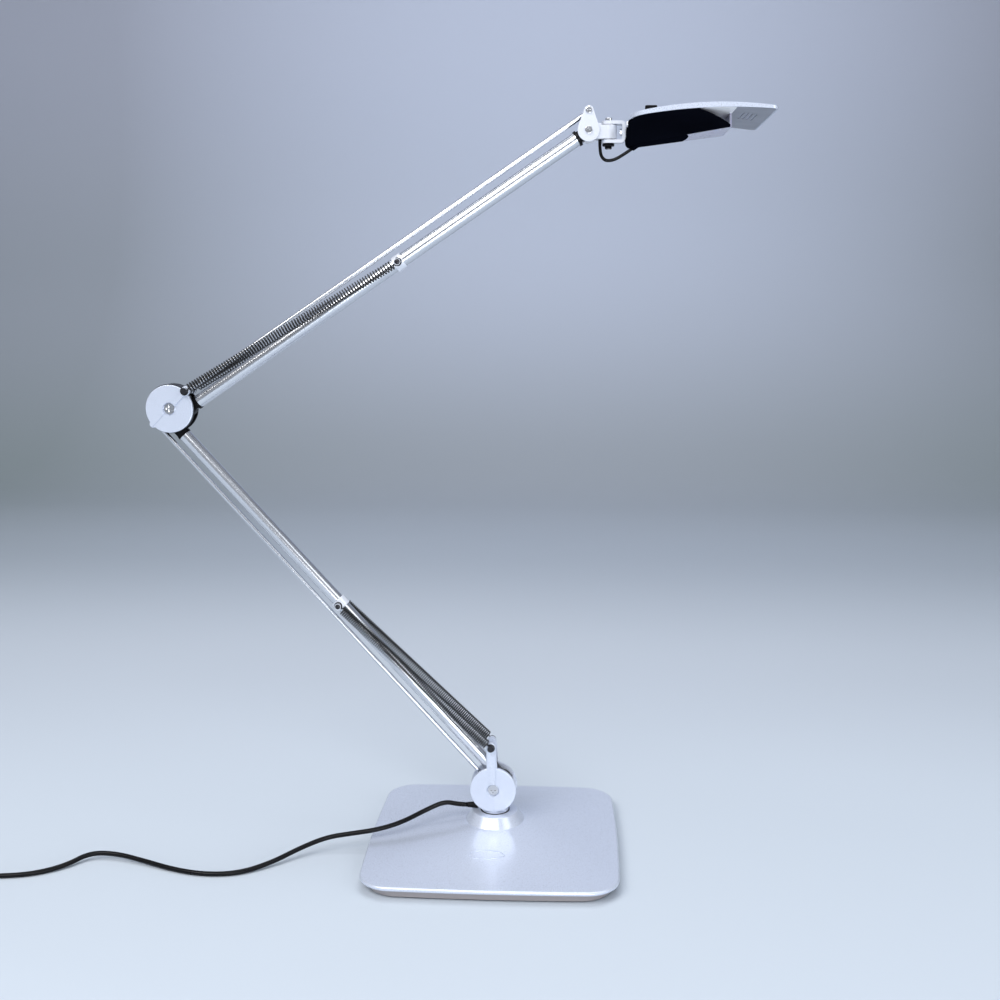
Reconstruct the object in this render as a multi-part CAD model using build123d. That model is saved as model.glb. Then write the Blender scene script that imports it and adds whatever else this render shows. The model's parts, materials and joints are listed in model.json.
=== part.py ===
from build123d import *
import os
from math import acos, atan2, ceil, cos, degrees, pi, radians, sin, sqrt, tan

# A spring-balanced desk lamp: square weighted base, two parallel-link arms, a flat head on a yoke.
# +X runs from the base towards the lamp head, +Y away from the viewer, +Z up, in millimetres.
# The origin is the centre of the pad that the lamp rests on.

# ---- general fits -------------------------------------------------------------------------
RUN = 0.05            # radial running clearance of a pin in its bore
GAP = 0.3             # clearance between neighbours that move past each other
OPEN_PIVOT = 0.3      # radial clearance at the far eye of each link rod

# ---- base ---------------------------------------------------------------------------------
BASE_W = 235.0        # overall width and depth of the cover
BASE_CORNER = 30.0    # corner radius of the cover in plan
SIDE_BULGE = 3.0      # how far each side bows out
PAD_T = 1.5           # foam pad under the tray
PAD_W = 172.0
TRAY_T = 2.0          # tray sheet
TRAY_FOOT_W = 223.0   # tray outline where it meets the pad
TRAY_SLOPE_H = 7.0    # height of the tapered band
TRAY_LAP = 1.5        # how far the tray reaches up inside the cover's lip
LIP_H = 4.0           # height of the cover's rounded rim
LIP_ROUND = 1.9
COVER_WALL = 2.5
CROWN_H = 10.7         # rise of the cover from rim to collar
CROWN_SET = 0.8       # flat between the rim's round and the crown
CROWN_ROOT = 1.0
CROWN_MID_W = 150.0   # section where the crown steepens
CROWN_MID_H = 3.8
CROWN_TOP_W = 60.0    # flat seat under the collar
CROWN_TOP_CORNER = 26.0
CROWN_MID_CORNER = 38.0
BALLAST_W = 168.0
BALLAST_T = 7.0
BALLAST_CORNER = 22.0
BASE_SCREW_R = 95.5   # distance of each base screw from the centre
BASE_SCREW_SHANK = 2.0
BASE_SCREW_HEAD = 3.8
BASE_SCREW_HEAD_T = 1.6
BASE_BOSS_R = 4.0
BADGE_L = 34.0        # blank raised oval on the front of the cover
BADGE_W = 15.0
BADGE_RIM = 1.6
BADGE_Y = -58.0
BADGE_X = -4.0
BADGE_RISE = 0.7

# ---- swivel -------------------------------------------------------------------------------
ARM_Y = 10.0          # the arm plane and swivel axis stand behind the base's centre
JOINT_X = -1.5        # centre of the lower joint, from the swivel axis
COLLAR_R = 28.0
COLLAR_TOP_R = 21.8
COLLAR_H = 9.2
COLLAR_EDGE = 1.2
SPINDLE_R = 8.0
BUSH_WALL = 1.0
BUSH_FLANGE_R = 14.0
BUSH_FLANGE_T = 0.5
CORE_FOOT_H = 0.25    # step between the bush flange and the bottom of the discs
SWIVEL_NUT_T = 4.0
SWIVEL_NUT_R = 13.0

# ---- joints -------------------------------------------------------------------------------
DISC_R = 22.0         # side discs of both joints
DISC_T = 3.0
DISC_EDGE = 0.6
JOINT_HALF = 7.0      # half the distance between the discs
CORE_R = 21.6
ELBOW_CORE_R = 22.6   # the elbow's black drum stands proud of its discs
SLOT_HALF = 4.7       # half the slot between the elbow's cheeks
SCREW_HEAD_R = 4.9    # centre screw of each disc
SCREW_HEAD_T = 1.3
COUNTERBORE_R = 6.0
COUNTERBORE_T = 2.0
BOLT_R = 2.5          # through bolt of the lower joint
PIN_R = 2.0
GROOVE_W = 0.9
GROOVE_T = 0.5
RIB_T = 1.2
LEVER_RISE = 42.8     # spring post above the lower joint's centre
LEVER_LEAN = -2.0
LEVER_ROOT_R = 5.8
LEVER_TIP_R = 4.4
RIB_ROOT_R = 2.4
RIB_TIP_R = 3.9
ELBOW_LUG_R = 4.2
ELBOW_RIB_R = 2.0
ELBOW_LOBE_R = 3.4    # lobe of each elbow disc round the lower rod's pivot
LOWER_CORE_CUT = 9.0  # the lower core fills the joint below this depth
LOWER_BAND_T = 1.2    # rim band on the lower core's right side
LOWER_BAND_TOP = 28.0  # angle that the band reaches, degrees above horizontal
ELBOW_ISLAND = 9.0    # the elbow core joins its cheeks beyond this distance
ELBOW_ISLAND_ANGLE = 127.0

# ---- arms ---------------------------------------------------------------------------------
LOWER_ELEVATION = 48.03   # degrees above horizontal, leaning to -X
LOWER_LENGTH = 469.25     # pivot to pivot
LOWER_LINK = 12.4        # tube pivot to rod pivot, square to the arm as it stands
ELBOW_ROD_REACH = 21.0   # elbow centre to the lower rod's pivot
UPPER_ELEVATION = 33.78
UPPER_LENGTH = 441.05
UPPER_LINK = 16.5        # the rod pivot is straight above the tube pivot
ELBOW_TUBE_REACH = 15.7  # elbow centre to the upper tube's pivot
TUBE_R = 6.0
TUBE_WALL = 1.0
ROD_R = 2.0
EYE_R = 4.2
EYE_HALF = 2.5
END_HALF = 4.4           # half width of the arm ends between the cheeks
END_BOSS_R = 7.6
END_NECK_R = 6.6
END_TONGUE = 5.0
SPIGOT_L = 14.0
LOWER_NECK_START = 15.0  # distances from the pivot to the neck of each arm end
ELBOW_NECK_START = 23.4
UPPER_NECK_START = 9.0
NECK_L = 2.5
CAP_NECK_START = 10.2
CAP_NECK_R = 7.0
CAP_BOSS_R = 7.9
WIRE_R = 1.4             # wire inside the tubes and head cable
WIRE_BORE = 1.6

# ---- springs ------------------------------------------------------------------------------
SPRING_OD = 9.0
SPRING_WIRE = 1.3
SPRING_Y = 12.4          # spring axis, each side of the arm plane
HOOK_R = 3.3             # hook's centreline round its post
POST_R = 1.9
POST_HEAD_R = 3.0
POST_HEAD_T = 1.2
HOOK_LEAD = 9.0          # post to the first full turn
LOWER_COLLAR_AT = 230.0  # spring collar's distance from the tube pivot
UPPER_COLLAR_AT = 238.0
LOWER_TURNS = 24
UPPER_TURNS = 26
SPRING_COLLAR_R = 7.3
SPRING_COLLAR_L = 9.0

# ---- head bracket and pan joint -------------------------------------------------------------
PLATE_IN = 6.6           # inner face of each bracket plate
PLATE_T = 2.0
PLATE_LOBE_R = 9.7
PLATE_TIP_R = 4.0
BRACKET_SCREW_HEAD = 3.3
ROD_SCREW_HEAD = 2.8
BRACKET_HEAD_T = 1.5
EAR_IN = 4.9             # pan block's ears, between the plates and the arm's end
EAR_OUT = 6.5
EAR_R = 7.5
PAN_REACH = 17.5         # tilt axis to pan axis
PAN_DROP = 1.4           # pan block's middle below the tilt axis
BARREL_R = 7.1
BARREL_H = 11.6
PAN_WASHER_T = 0.7
PAN_WASHER_R = 6.0
YOKE_T = 2.8
YOKE_HALF = 6.0
YOKE_REACH = 14.6        # pan axis to the back of the yoke's web
YOKE_CORNER = 4.0
PAN_BOLT_R = 2.0
PAN_HEAD_R = 3.0
PAN_HEAD_H = 2.9
KNOB_R = 5.3
KNOB_H = 2.3
KNOB_HUB_R = 3.0
KNOB_LOBES = 8
STEM_R = 2.0
STEM_NUT_R = 4.2
STEM_HEAD_T = 2.0

# ---- head ---------------------------------------------------------------------------------
HEAD_GAP = 0.8           # yoke to the housing's back
HEAD_L = 122.0
HEAD_W = 124.0
SHELL_CORNER = 13.0      # plan corners at the back
SHELL_FRONT_CORNER = 6.0
SHELL_WALL = 1.6
SHELL_SET = 1.6          # the shell's back stands this far in front of the housing's
RIM_BACK_Z = 4.3         # heights from the pan block's middle
RIM_MID_Z = 11.3
RIM_FRONT_Z = 9.4
RIM_MID_AT = 74.0        # where the rim is highest, from the shell's back
TOP_BACK_Z = 7.3
TOP_MID_Z = 14.8
TOP_FRONT_Z = 11.6
TOP_MID_AT = 76.0        # where the top is highest, from the shell's back
SHELL_CROWN = 3.0
SHELL_MARGIN = 6.0       # how far the forms that cut the shell reach past it
SHELL_DEPTH = 60.0
POD_BACK_Z = -12.6       # keel of the housing at its back
POD_FRONT_Z = 0.1
POD_BACK_HALF = 14.0     # half width of the keel
POD_FRONT_HALF = 28.0
POD_SIDE_Z = 9.6
POD_INSET = 2.4
POD_WALL = 1.8
POD_BACK_ROUND = 4.0
POD_L = 88.0             # length of the keel, to the diffuser's front
LENS_START = 51.0        # the diffuser starts here, from the housing's back
LENS_BOW = 3.0
FIN_START = 55.0         # where each fin's front edge leaves the rim
FIN_BOW = 2.6
FIN_TIP_BACK = 1.0       # fin tips stop this far behind the diffuser's front
REFLECTOR_START = 40.0
REFLECTOR_T = 0.8
REFLECTOR_Z = 11.2
LAMP_R = 4.2
LAMP_PITCH = 13.0
LAMP_L = 41.0
LAMP_END_GAP = 6.5
HOLDER_L = 24.0
HOLDER_W = 28.0
HOLDER_H = 12.0
GEAR_L = 20.0
GEAR_W = 22.0
GEAR_H = 4.0
VENT_COUNT = 4
VENT_PITCH = 3.6
VENT_L = 35.0
VENT_W = 1.4
VENT_AT = 99.5           # first vent, from the housing's back
VENT_PANEL_T = 1.0
BUTTON_L = 10.0
BUTTON_W = 7.0
BUTTON_H = 5.4
BUTTON_AT = 18.2         # button's middle, from the housing's back
BUTTON_SIDE = HEAD_W / 2 - 14.0     # and from the head's middle, towards -Y
BUTTON_BASE_Z = 9.4
BUTTON_TRAVEL = 1.2
HEAD_SCREW_SIDE = HEAD_W / 2 - 32.0
HEAD_SCREW_Z = 2.6
HEAD_SCREW_R = 1.5
HEAD_SCREW_HEAD = 2.5
CABLE_IN_AT = 9.4        # the head cable meets the keel this far from the housing's back
CABLE_IN_ANGLE = 34.0    # and rises at this angle
CABLE_BOSS_R = 2.3
CABLE_BOSS_OUT = 4.7
CABLE_LOW = 24.2         # lowest run of the head cable below the pan block's middle

# ---- cords --------------------------------------------------------------------------------
CORD_D = 4.6
GLAND_L = 10.0
GLAND_R = 3.2
GLAND_TIP_R = 2.5
GLAND_Z = -19.0          # gland below the lower joint's centre
GLAND_SEAT = 8.0
COIL_X = -556.0
COIL_Y = -125.5
COIL_R = 30.0            # outer turn
COIL_PITCH = 6.1
COIL_LAYERS = 4
COIL_LAYER_HALF_TURNS = 3
PLUG_L = 34.0
PLUG_W = 26.0
PLUG_H = 13.6
PLUG_PIN_R = 2.0
PLUG_PIN_L = 19.0
PLUG_PIN_PITCH = 18.6
PLUG_RELIEF_L = 20.0

# Points of the power cord's free run, from the gland to the coil, chosen by hand.
CORD_ROUTE = [
    (-48.5, 10.6, 38.6), (-66, 7.0, 31.5), (-88, -7.0, 24.2), (-110, -16.0, 20.2), (-134, -19.0, 17.2),
    (-158, -21.0, 13.8),
    (-181, -34.5, 8.6), (-203, -57.0, 4.2), (-229, -76.0, 2.3), (-260, -79.5, 2.3), (-291, -71.5, 2.5),
    (-322, -58.5, 3.6), (-352, -49.0, 5.6), (-377, -49.5, 5.8), (-391, -71.0, 3.2), (-416, -88.0, 2.3),
    (-450, -93.5, 2.3), (-486, -96.5, 2.3),
]
CORD_LEAD = 9.0       # straight run out of the gland
COIL_LEAD = 36.0      # straight run into the coil

# ---- places worked out from the sizes ---------------------------------------------------------
PAD_TOP = PAD_T
TRAY_FLOOR = PAD_TOP + TRAY_T
LIP_Z = PAD_TOP + TRAY_SLOPE_H
LIP_TOP = LIP_Z + LIP_H
BASE_TOP = LIP_TOP + CROWN_H
COLLAR_TOP = BASE_TOP + COLLAR_H
CORE_FOOT_Z = COLLAR_TOP + BUSH_FLANGE_T + RUN
BUSH_R = SPINDLE_R + RUN + BUSH_WALL
FACE = JOINT_HALF + DISC_T              # outer face of a disc, from the arm plane
TUBE_BORE = TUBE_R - TUBE_WALL
COIL_MEAN_R = (SPRING_OD - SPRING_WIRE) / 2


def at(x, z):
    """A point of the arm plane."""
    return Vector(x, ARM_Y, z)


def heading(angle):
    """Unit vector in the arm plane, angle in degrees from +X towards +Z."""
    return Vector(cos(radians(angle)), 0, sin(radians(angle)))


LOWER_DIR = heading(180 - LOWER_ELEVATION)      # from the lower joint towards the elbow
LOWER_SIDE = heading(270 - LOWER_ELEVATION)     # from the lower tube towards its rod
UPPER_DIR = heading(UPPER_ELEVATION)
UP = Vector(0, 0, 1)

BASE_C = at(JOINT_X, CORE_FOOT_Z + CORE_FOOT_H + DISC_R)      # centre of the lower joint
LOWER_ROD_A = BASE_C
LOWER_TUBE_A = BASE_C - LOWER_SIDE * LOWER_LINK
LOWER_ROD_B = LOWER_ROD_A + LOWER_DIR * LOWER_LENGTH
LOWER_TUBE_B = LOWER_TUBE_A + LOWER_DIR * LOWER_LENGTH
ELBOW_C = LOWER_ROD_B - LOWER_SIDE * ELBOW_ROD_REACH    # centre of the elbow
UPPER_TUBE_A = ELBOW_C + Vector(ELBOW_TUBE_REACH, 0, 0)
UPPER_ROD_A = UPPER_TUBE_A + UP * UPPER_LINK
UPPER_TUBE_B = UPPER_TUBE_A + UPPER_DIR * UPPER_LENGTH
UPPER_ROD_B = UPPER_ROD_A + UPPER_DIR * UPPER_LENGTH
LOWER_POST = BASE_C + Vector(LEVER_LEAN, 0, LEVER_RISE)
PAN_C = UPPER_TUBE_B + Vector(PAN_REACH, 0, -PAN_DROP)  # middle of the pan joint
HEAD_X = PAN_C.X + YOKE_REACH + HEAD_GAP                # back of the housing
HEAD_Z = PAN_C.Z
SHELL_X = HEAD_X + SHELL_SET
SHELL_L = HEAD_L - SHELL_SET
BARREL_TOP = PAN_C.Z + BARREL_H / 2
YOKE_IN = BARREL_H / 2 + PAN_WASHER_T + 2 * RUN         # pan middle to the yoke's inner faces
YOKE_OUT = YOKE_IN + YOKE_T


# ---- helpers ----------------------------------------------------------------------------------
def y_cylinder(point, radius, y0, y1):
    """A cylinder along Y through a point of the arm plane, between two offsets from that plane."""
    middle = Location((point.X, ARM_Y + (y0 + y1) / 2, point.Z), (90, 0, 0))
    return middle * Cylinder(radius, abs(y1 - y0))


def z_cylinder(x, y, radius, z0, z1):
    return Pos(x, y, (z0 + z1) / 2) * Cylinder(radius, z1 - z0)


def rod(start, direction, radius, d0, d1):
    """A cylinder along a direction, between two distances from start."""
    plane = Plane(origin=start + direction * d0, z_dir=direction)
    return plane * Pos(0, 0, (d1 - d0) / 2) * Cylinder(radius, d1 - d0)


def slab(sketch, y0, y1):
    """A sketch drawn in x and z, given a thickness between two offsets from the arm plane."""
    plane = Plane(origin=(0, ARM_Y + y1, 0), x_dir=(1, 0, 0), z_dir=(0, -1, 0))
    return extrude(plane * sketch, amount=y1 - y0)


def tapered_bar(a, ra, b, rb):
    """The outline round two circles, drawn in x and z."""
    span = b - a
    length = span.length
    along = atan2(span.Z, span.X)
    lean = acos((ra - rb) / length)
    corners = []
    for centre, radius, turn in ((a, ra, lean), (b, rb, lean), (b, rb, -lean), (a, ra, -lean)):
        corners.append((centre.X + radius * cos(along + turn), centre.Z + radius * sin(along + turn)))
    bar = make_face(Polyline(*corners, close=True))
    return bar + Pos(a.X, a.Z) * Circle(ra) + Pos(b.X, b.Z) * Circle(rb)


def disc_sketch(point, radius):
    return Pos(point.X, point.Z) * Circle(radius)


def bulged_square(width, corner, bulge=SIDE_BULGE):
    """A rounded square whose four sides bow out, centred on the origin."""
    half = width / 2 - bulge
    reach = width / 2
    sides = [
        ThreePointArc((-half, -half), (0, -reach), (half, -half)),
        ThreePointArc((half, -half), (reach, 0), (half, half)),
        ThreePointArc((half, half), (0, reach), (-half, half)),
        ThreePointArc((-half, half), (-reach, 0), (-half, -half)),
    ]
    face = make_face(Curve() + sides)
    return fillet(face.vertices(), corner)


def biarc_wire(points, tangents):
    """One smooth wire through points in space, two tangent arcs from each point to the next."""
    edges = []
    for p, q, t, u in zip(points, points[1:], tangents, tangents[1:]):
        v = q - p
        total = t + u
        dull = 2 * (1 - t.dot(u))
        if dull < 1e-9:
            edges.append(Line(p, q))
            continue
        reach = (sqrt(v.dot(total) ** 2 + dull * v.dot(v)) - v.dot(total)) / dull
        joint = (p + t * reach + q - u * reach) / 2
        middle_tangent = (q - u * reach - p - t * reach).normalized()
        edges.append(TangentArc(p, joint, tangent=t))
        edges.append(TangentArc(joint, q, tangent=middle_tangent))
    return Wire(edges)


def tube_along(wire, radius):
    """A round bar swept along a wire."""
    start = Plane(origin=wire @ 0, z_dir=wire % 0)
    return sweep(start * Circle(radius), path=wire)


def least_gap(wire, diameter, count, skip):
    """Smallest free distance between parts of a wound tube, measured on points along it."""
    points = [wire @ (k / count) for k in range(count + 1)]
    best = 1e9
    for i in range(0, count, 2):
        for j in range(i + skip, count, 2):
            best = min(best, (points[i] - points[j]).length)
    return best - diameter


def corner_radii(points, share=0.45):
    """Radius of each corner of a cord's route: as large as its two runs allow."""
    radii = []
    for a, b, c in zip(points, points[1:], points[2:]):
        turn = radians((b - a).get_angle(c - b))
        shorter = min((b - a).length, (c - b).length)
        radii.append(share * shorter / tan(turn / 2))
    return radii


def cord_tube(points, diameter, name):
    """A round cord along straight runs joined by tangent arcs."""
    radii = corner_radii(points)
    path = FilletPolyline(*points, radius=radii)
    solid = tube_along(path, diameter / 2)
    wanted = pi * diameter ** 2 / 4 * path.length
    print(name, "length %.1f" % path.length, "least radius %.1f" % min(radii),
          "volume share %.4f" % (solid.volume / wanted))
    return solid


# ---- base ---------------------------------------------------------------------------------------
def anti_slip_pad():
    return extrude(bulged_square(PAD_W, BALLAST_CORNER), amount=PAD_T)


def tray_body(inset, floor, top):
    """The tray's tapered form, drawn in by inset."""
    foot = bulged_square(TRAY_FOOT_W - 2 * inset, BASE_CORNER)
    rim = bulged_square(BASE_W - 2 * (COVER_WALL + GAP) - 2 * inset, BASE_CORNER)
    slope = loft([Pos(0, 0, floor) * foot, Pos(0, 0, LIP_Z) * rim], ruled=True)
    return slope + Pos(0, 0, LIP_Z) * extrude(rim, amount=top - LIP_Z)


def base_screw_places():
    return [(BASE_SCREW_R, 0), (0, BASE_SCREW_R), (-BASE_SCREW_R, 0), (0, -BASE_SCREW_R)]


def base_tray():
    body = tray_body(0, PAD_TOP, LIP_Z + TRAY_LAP)
    body -= tray_body(TRAY_T, TRAY_FLOOR, LIP_Z + TRAY_LAP + 1)
    for x, y in base_screw_places():
        body -= z_cylinder(x, y, BASE_SCREW_SHANK + RUN, PAD_TOP, TRAY_FLOOR)
        body -= z_cylinder(x, y, BASE_SCREW_HEAD + RUN, PAD_TOP, PAD_TOP + BASE_SCREW_HEAD_T)
    return body


def ballast_plate():
    plate = Box(BALLAST_W, BALLAST_W, BALLAST_T)
    plate = fillet(plate.edges().filter_by(Axis.Z), BALLAST_CORNER)
    return Pos(0, 0, TRAY_FLOOR + BALLAST_T / 2) * plate


def base_screws():
    screws = []
    for x, y in base_screw_places():
        head = z_cylinder(x, y, BASE_SCREW_HEAD, PAD_TOP, PAD_TOP + BASE_SCREW_HEAD_T)
        shank = z_cylinder(x, y, BASE_SCREW_SHANK - RUN, PAD_TOP + BASE_SCREW_HEAD_T, LIP_TOP - 1)
        slot = Pos(x, y, PAD_TOP + 0.4) * (Box(4.5, 0.9, 0.8) + Box(0.9, 4.5, 0.8))
        screws.append(head + shank - slot)
    return screws


def crown(inset, drop):
    """The cover's top, from the rim up to the collar's seat, with a root that sinks into the rim."""
    margin = LIP_ROUND + CROWN_SET + inset
    foot = bulged_square(BASE_W - 2 * margin, BASE_CORNER - margin)
    middle = bulged_square(CROWN_MID_W - 2 * inset, CROWN_MID_CORNER)
    seat = bulged_square(CROWN_TOP_W - 2 * inset, CROWN_TOP_CORNER - inset)
    sections = [
        Pos(0, 0, LIP_TOP - drop) * foot,
        Pos(0, ARM_Y / 2, LIP_TOP + CROWN_MID_H - drop) * middle,
        Pos(0, ARM_Y, BASE_TOP - drop) * seat,
    ]
    root = Pos(0, 0, LIP_TOP - drop - CROWN_ROOT) * extrude(foot, amount=CROWN_ROOT)
    return loft(sections) + root


def badge():
    """A blank raised oval, held on the cover's front slope."""
    ring = extrude(Ellipse(BADGE_L / 2, BADGE_W / 2), amount=CROWN_H)
    ring -= extrude(Ellipse(BADGE_L / 2 - BADGE_RIM, BADGE_W / 2 - BADGE_RIM), amount=CROWN_H)
    return Pos(BADGE_X, BADGE_Y, LIP_TOP - 1) * ring


def base_cover():
    rim = Pos(0, 0, LIP_Z) * extrude(bulged_square(BASE_W, BASE_CORNER), amount=LIP_H)
    outer_edges = rim.edges().group_by(Axis.Z)
    rim = fillet(outer_edges[0] + outer_edges[-1], LIP_ROUND)
    raised = badge() & crown(0, -BADGE_RISE)
    cover = rim + crown(0, 0) + raised
    hollow = extrude(bulged_square(BASE_W - 2 * COVER_WALL, BASE_CORNER - COVER_WALL), amount=LIP_H - COVER_WALL)
    cover -= Pos(0, 0, LIP_Z) * hollow
    cover -= crown(COVER_WALL, COVER_WALL)
    cover -= z_cylinder(0, ARM_Y, BUSH_R + RUN, LIP_TOP, BASE_TOP + 1)
    for x, y in base_screw_places():
        cover += z_cylinder(x, y, BASE_BOSS_R, TRAY_FLOOR, LIP_TOP)
        cover -= z_cylinder(x, y, BASE_SCREW_SHANK, TRAY_FLOOR, LIP_TOP - 1)
    return cover


# ---- swivel ---------------------------------------------------------------------------------------
def swivel_collar():
    cone = Pos(0, ARM_Y, BASE_TOP + COLLAR_H / 2) * Cone(COLLAR_R, COLLAR_TOP_R, COLLAR_H)
    cone = fillet(cone.edges().group_by(Axis.Z)[-1], COLLAR_EDGE)
    return cone - z_cylinder(0, ARM_Y, BUSH_R + RUN, BASE_TOP - 1, COLLAR_TOP + 1)


def swivel_bush():
    low = BASE_TOP - COVER_WALL
    bush = z_cylinder(0, ARM_Y, BUSH_R, low, COLLAR_TOP)
    bush += z_cylinder(0, ARM_Y, BUSH_FLANGE_R, COLLAR_TOP, COLLAR_TOP + BUSH_FLANGE_T)
    return bush - z_cylinder(0, ARM_Y, SPINDLE_R + RUN, low - 1, COLLAR_TOP + 2)


def swivel_nut():
    top = BASE_TOP - COVER_WALL - RUN
    nut = z_cylinder(0, ARM_Y, SWIVEL_NUT_R, top - SWIVEL_NUT_T / 4, top)
    hexagon = Pos(0, ARM_Y, top - SWIVEL_NUT_T) * extrude(RegularPolygon(SWIVEL_NUT_R * 0.85, 6), amount=SWIVEL_NUT_T)
    return nut + hexagon - z_cylinder(0, ARM_Y, SPINDLE_R, top - SWIVEL_NUT_T - 1, top + 1)


# ---- joints ---------------------------------------------------------------------------------------
def joint_disc(side, centre, tip, root_r, tip_r, rib_root, rib_tip, lobe=None):
    """A side disc with the lever that carries a spring post; side is -1 in front, 1 behind."""
    low, high = sorted((side * JOINT_HALF, side * FACE))
    outline = disc_sketch(centre, DISC_R) + tapered_bar(centre, root_r, tip, tip_r)
    if lobe:
        outline += disc_sketch(lobe, ELBOW_LOBE_R)
    plate = slab(outline, low, high)
    faces = plate.faces().sort_by(Axis.Y)
    outer = faces[0] if side < 0 else faces[-1]
    plate = fillet(outer.edges(), DISC_EDGE)
    direction = (tip - centre).normalized()
    rib_start = centre + direction * (COUNTERBORE_R + 0.4)
    rib_low, rib_high = sorted((side * (FACE - 0.2), side * (FACE + RIB_T)))
    rib = slab(tapered_bar(rib_start, rib_root, tip, rib_tip), rib_low, rib_high)
    plate += rib - y_cylinder(centre, COUNTERBORE_R, rib_low - 1, rib_high + 1)
    floor_low, floor_high = sorted((side * (FACE - COUNTERBORE_T), side * (FACE + RIB_T + 1)))
    plate -= y_cylinder(centre, COUNTERBORE_R, floor_low, floor_high)
    groove_start = centre - direction * (COUNTERBORE_R - 0.5)
    groove_end = centre - direction * (DISC_R + 1)
    groove_low, groove_high = sorted((side * (FACE - GROOVE_T), side * (FACE + 1)))
    plate -= slab(tapered_bar(groove_start, GROOVE_W / 2 + 0.01, groove_end, GROOVE_W / 2), groove_low, groove_high)
    return plate


def lower_disc(side):
    disc = joint_disc(side, BASE_C, LOWER_POST, LEVER_ROOT_R, LEVER_TIP_R, RIB_ROOT_R, RIB_TIP_R)
    disc -= y_cylinder(BASE_C, BOLT_R, -FACE - 2, FACE + 2)
    pin_low, pin_high = sorted((side * (JOINT_HALF - 1), side * (FACE - 1)))
    disc -= y_cylinder(LOWER_TUBE_A, PIN_R, pin_low, pin_high)
    post_low, post_high = sorted((side * (JOINT_HALF + 1), side * (FACE + RIB_T + 1)))
    return disc - y_cylinder(LOWER_POST, POST_R, post_low, post_high)


def elbow_disc(side):
    disc = joint_disc(side, ELBOW_C, UPPER_ROD_A, ELBOW_LUG_R + 0.01, ELBOW_LUG_R, ELBOW_RIB_R + 0.01, ELBOW_RIB_R,
                      LOWER_ROD_B)
    disc -= y_cylinder(ELBOW_C, PIN_R, -FACE - 2, FACE + 2)
    return disc - y_cylinder(UPPER_ROD_A, PIN_R, -FACE - 2, FACE + 2)


def lower_joint_core():
    """The casting between the lower discs: a solid foot, a band up the right side and the spindle."""
    drum = slab(disc_sketch(BASE_C, CORE_R), -JOINT_HALF, JOINT_HALF)
    foot_cut = Pos(0, ARM_Y, BASE_C.Z - LOWER_CORE_CUT - CORE_R) * Box(3 * CORE_R, 30, 2 * CORE_R)
    foot = drum & foot_cut
    ring = drum - y_cylinder(BASE_C, CORE_R - LOWER_BAND_T, -JOINT_HALF - 1, JOINT_HALF + 1)
    wedge = [(BASE_C.X, BASE_C.Z), (BASE_C.X + 3 * CORE_R, BASE_C.Z - 3 * CORE_R)]
    top = heading(LOWER_BAND_TOP) * 3 * CORE_R
    wedge.append((BASE_C.X + top.X, BASE_C.Z + top.Z))
    band = ring & slab(make_face(Polyline(*wedge, close=True)), -JOINT_HALF - 1, JOINT_HALF + 1)
    core = foot + band
    stem = z_cylinder(0, ARM_Y, BUSH_FLANGE_R - 1, CORE_FOOT_Z, BASE_C.Z - DISC_R + 3)
    core += stem & slab(Pos(0, BASE_C.Z - DISC_R) * Rectangle(60, 20), -JOINT_HALF, JOINT_HALF)
    core += z_cylinder(0, ARM_Y, BUSH_FLANGE_R - 1, CORE_FOOT_Z, BASE_C.Z - DISC_R)
    core += z_cylinder(0, ARM_Y, SPINDLE_R, BASE_TOP - COVER_WALL - RUN - SWIVEL_NUT_T, CORE_FOOT_Z + CORE_FOOT_H)
    gland_axis = at(BASE_C.X, BASE_C.Z + GLAND_Z)
    return core - rod(gland_axis, Vector(-1, 0, 0), GLAND_R - 1, gland_bore_depth(), 2 * CORE_R)


def gland_face():
    """Distance of the core's flank from its centre at the gland's height."""
    return sqrt(CORE_R ** 2 - GLAND_Z ** 2)


def gland_bore_depth():
    return gland_face() - GLAND_SEAT


def gland_start():
    """Distance from the core's centre where the gland's flare is clear of the core's round flank."""
    return sqrt(CORE_R ** 2 - (GLAND_R + GLAND_Z) ** 2) + GAP


def cord_gland():
    """The tapered strain relief in the lower core's left flank."""
    axis = at(BASE_C.X, BASE_C.Z + GLAND_Z)
    left = Vector(-1, 0, 0)
    seat = rod(axis, left, GLAND_R - 1, gland_bore_depth(), gland_start())
    flare = Plane(origin=axis + left * gland_start(), z_dir=left)
    cone = flare * Pos(0, 0, GLAND_L / 2) * Cone(GLAND_R, GLAND_TIP_R, GLAND_L)
    return seat + cone


def lower_joint_bolt():
    """The through bolt with its recessed head in front, and the nut behind."""
    seat = FACE - COUNTERBORE_T
    bolt = y_cylinder(BASE_C, BOLT_R, -seat, seat + SCREW_HEAD_T)
    bolt += y_cylinder(BASE_C, SCREW_HEAD_R, -seat - SCREW_HEAD_T, -seat)
    bolt -= cross_recess(BASE_C, -seat - SCREW_HEAD_T)
    nut = slab(Pos(BASE_C.X, BASE_C.Z) * RegularPolygon(SCREW_HEAD_R, 6), seat, seat + SCREW_HEAD_T)
    nut -= y_cylinder(BASE_C, BOLT_R, seat - 1, seat + SCREW_HEAD_T + 1)
    return [bolt, nut]


def cross_recess(point, face, size=6.0):
    """A cross driven recess, cut from a face at an offset from the arm plane."""
    cross = Rectangle(size, size / 4) + Rectangle(size / 4, size)
    return slab(Pos(point.X, point.Z) * cross, face - 1.0, face + 1.0)


def spring_post(point, side, start):
    """A headed post for a spring's hook."""
    end = SPRING_Y + 1.8
    low, high = sorted((side * start, side * end))
    post = y_cylinder(point, POST_R, low, high)
    low, high = sorted((side * end, side * (end + POST_HEAD_T)))
    return post + y_cylinder(point, POST_HEAD_R, low, high)


def lower_spring_posts():
    return [spring_post(LOWER_POST, side, JOINT_HALF + 1) for side in (-1, 1)]


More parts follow.
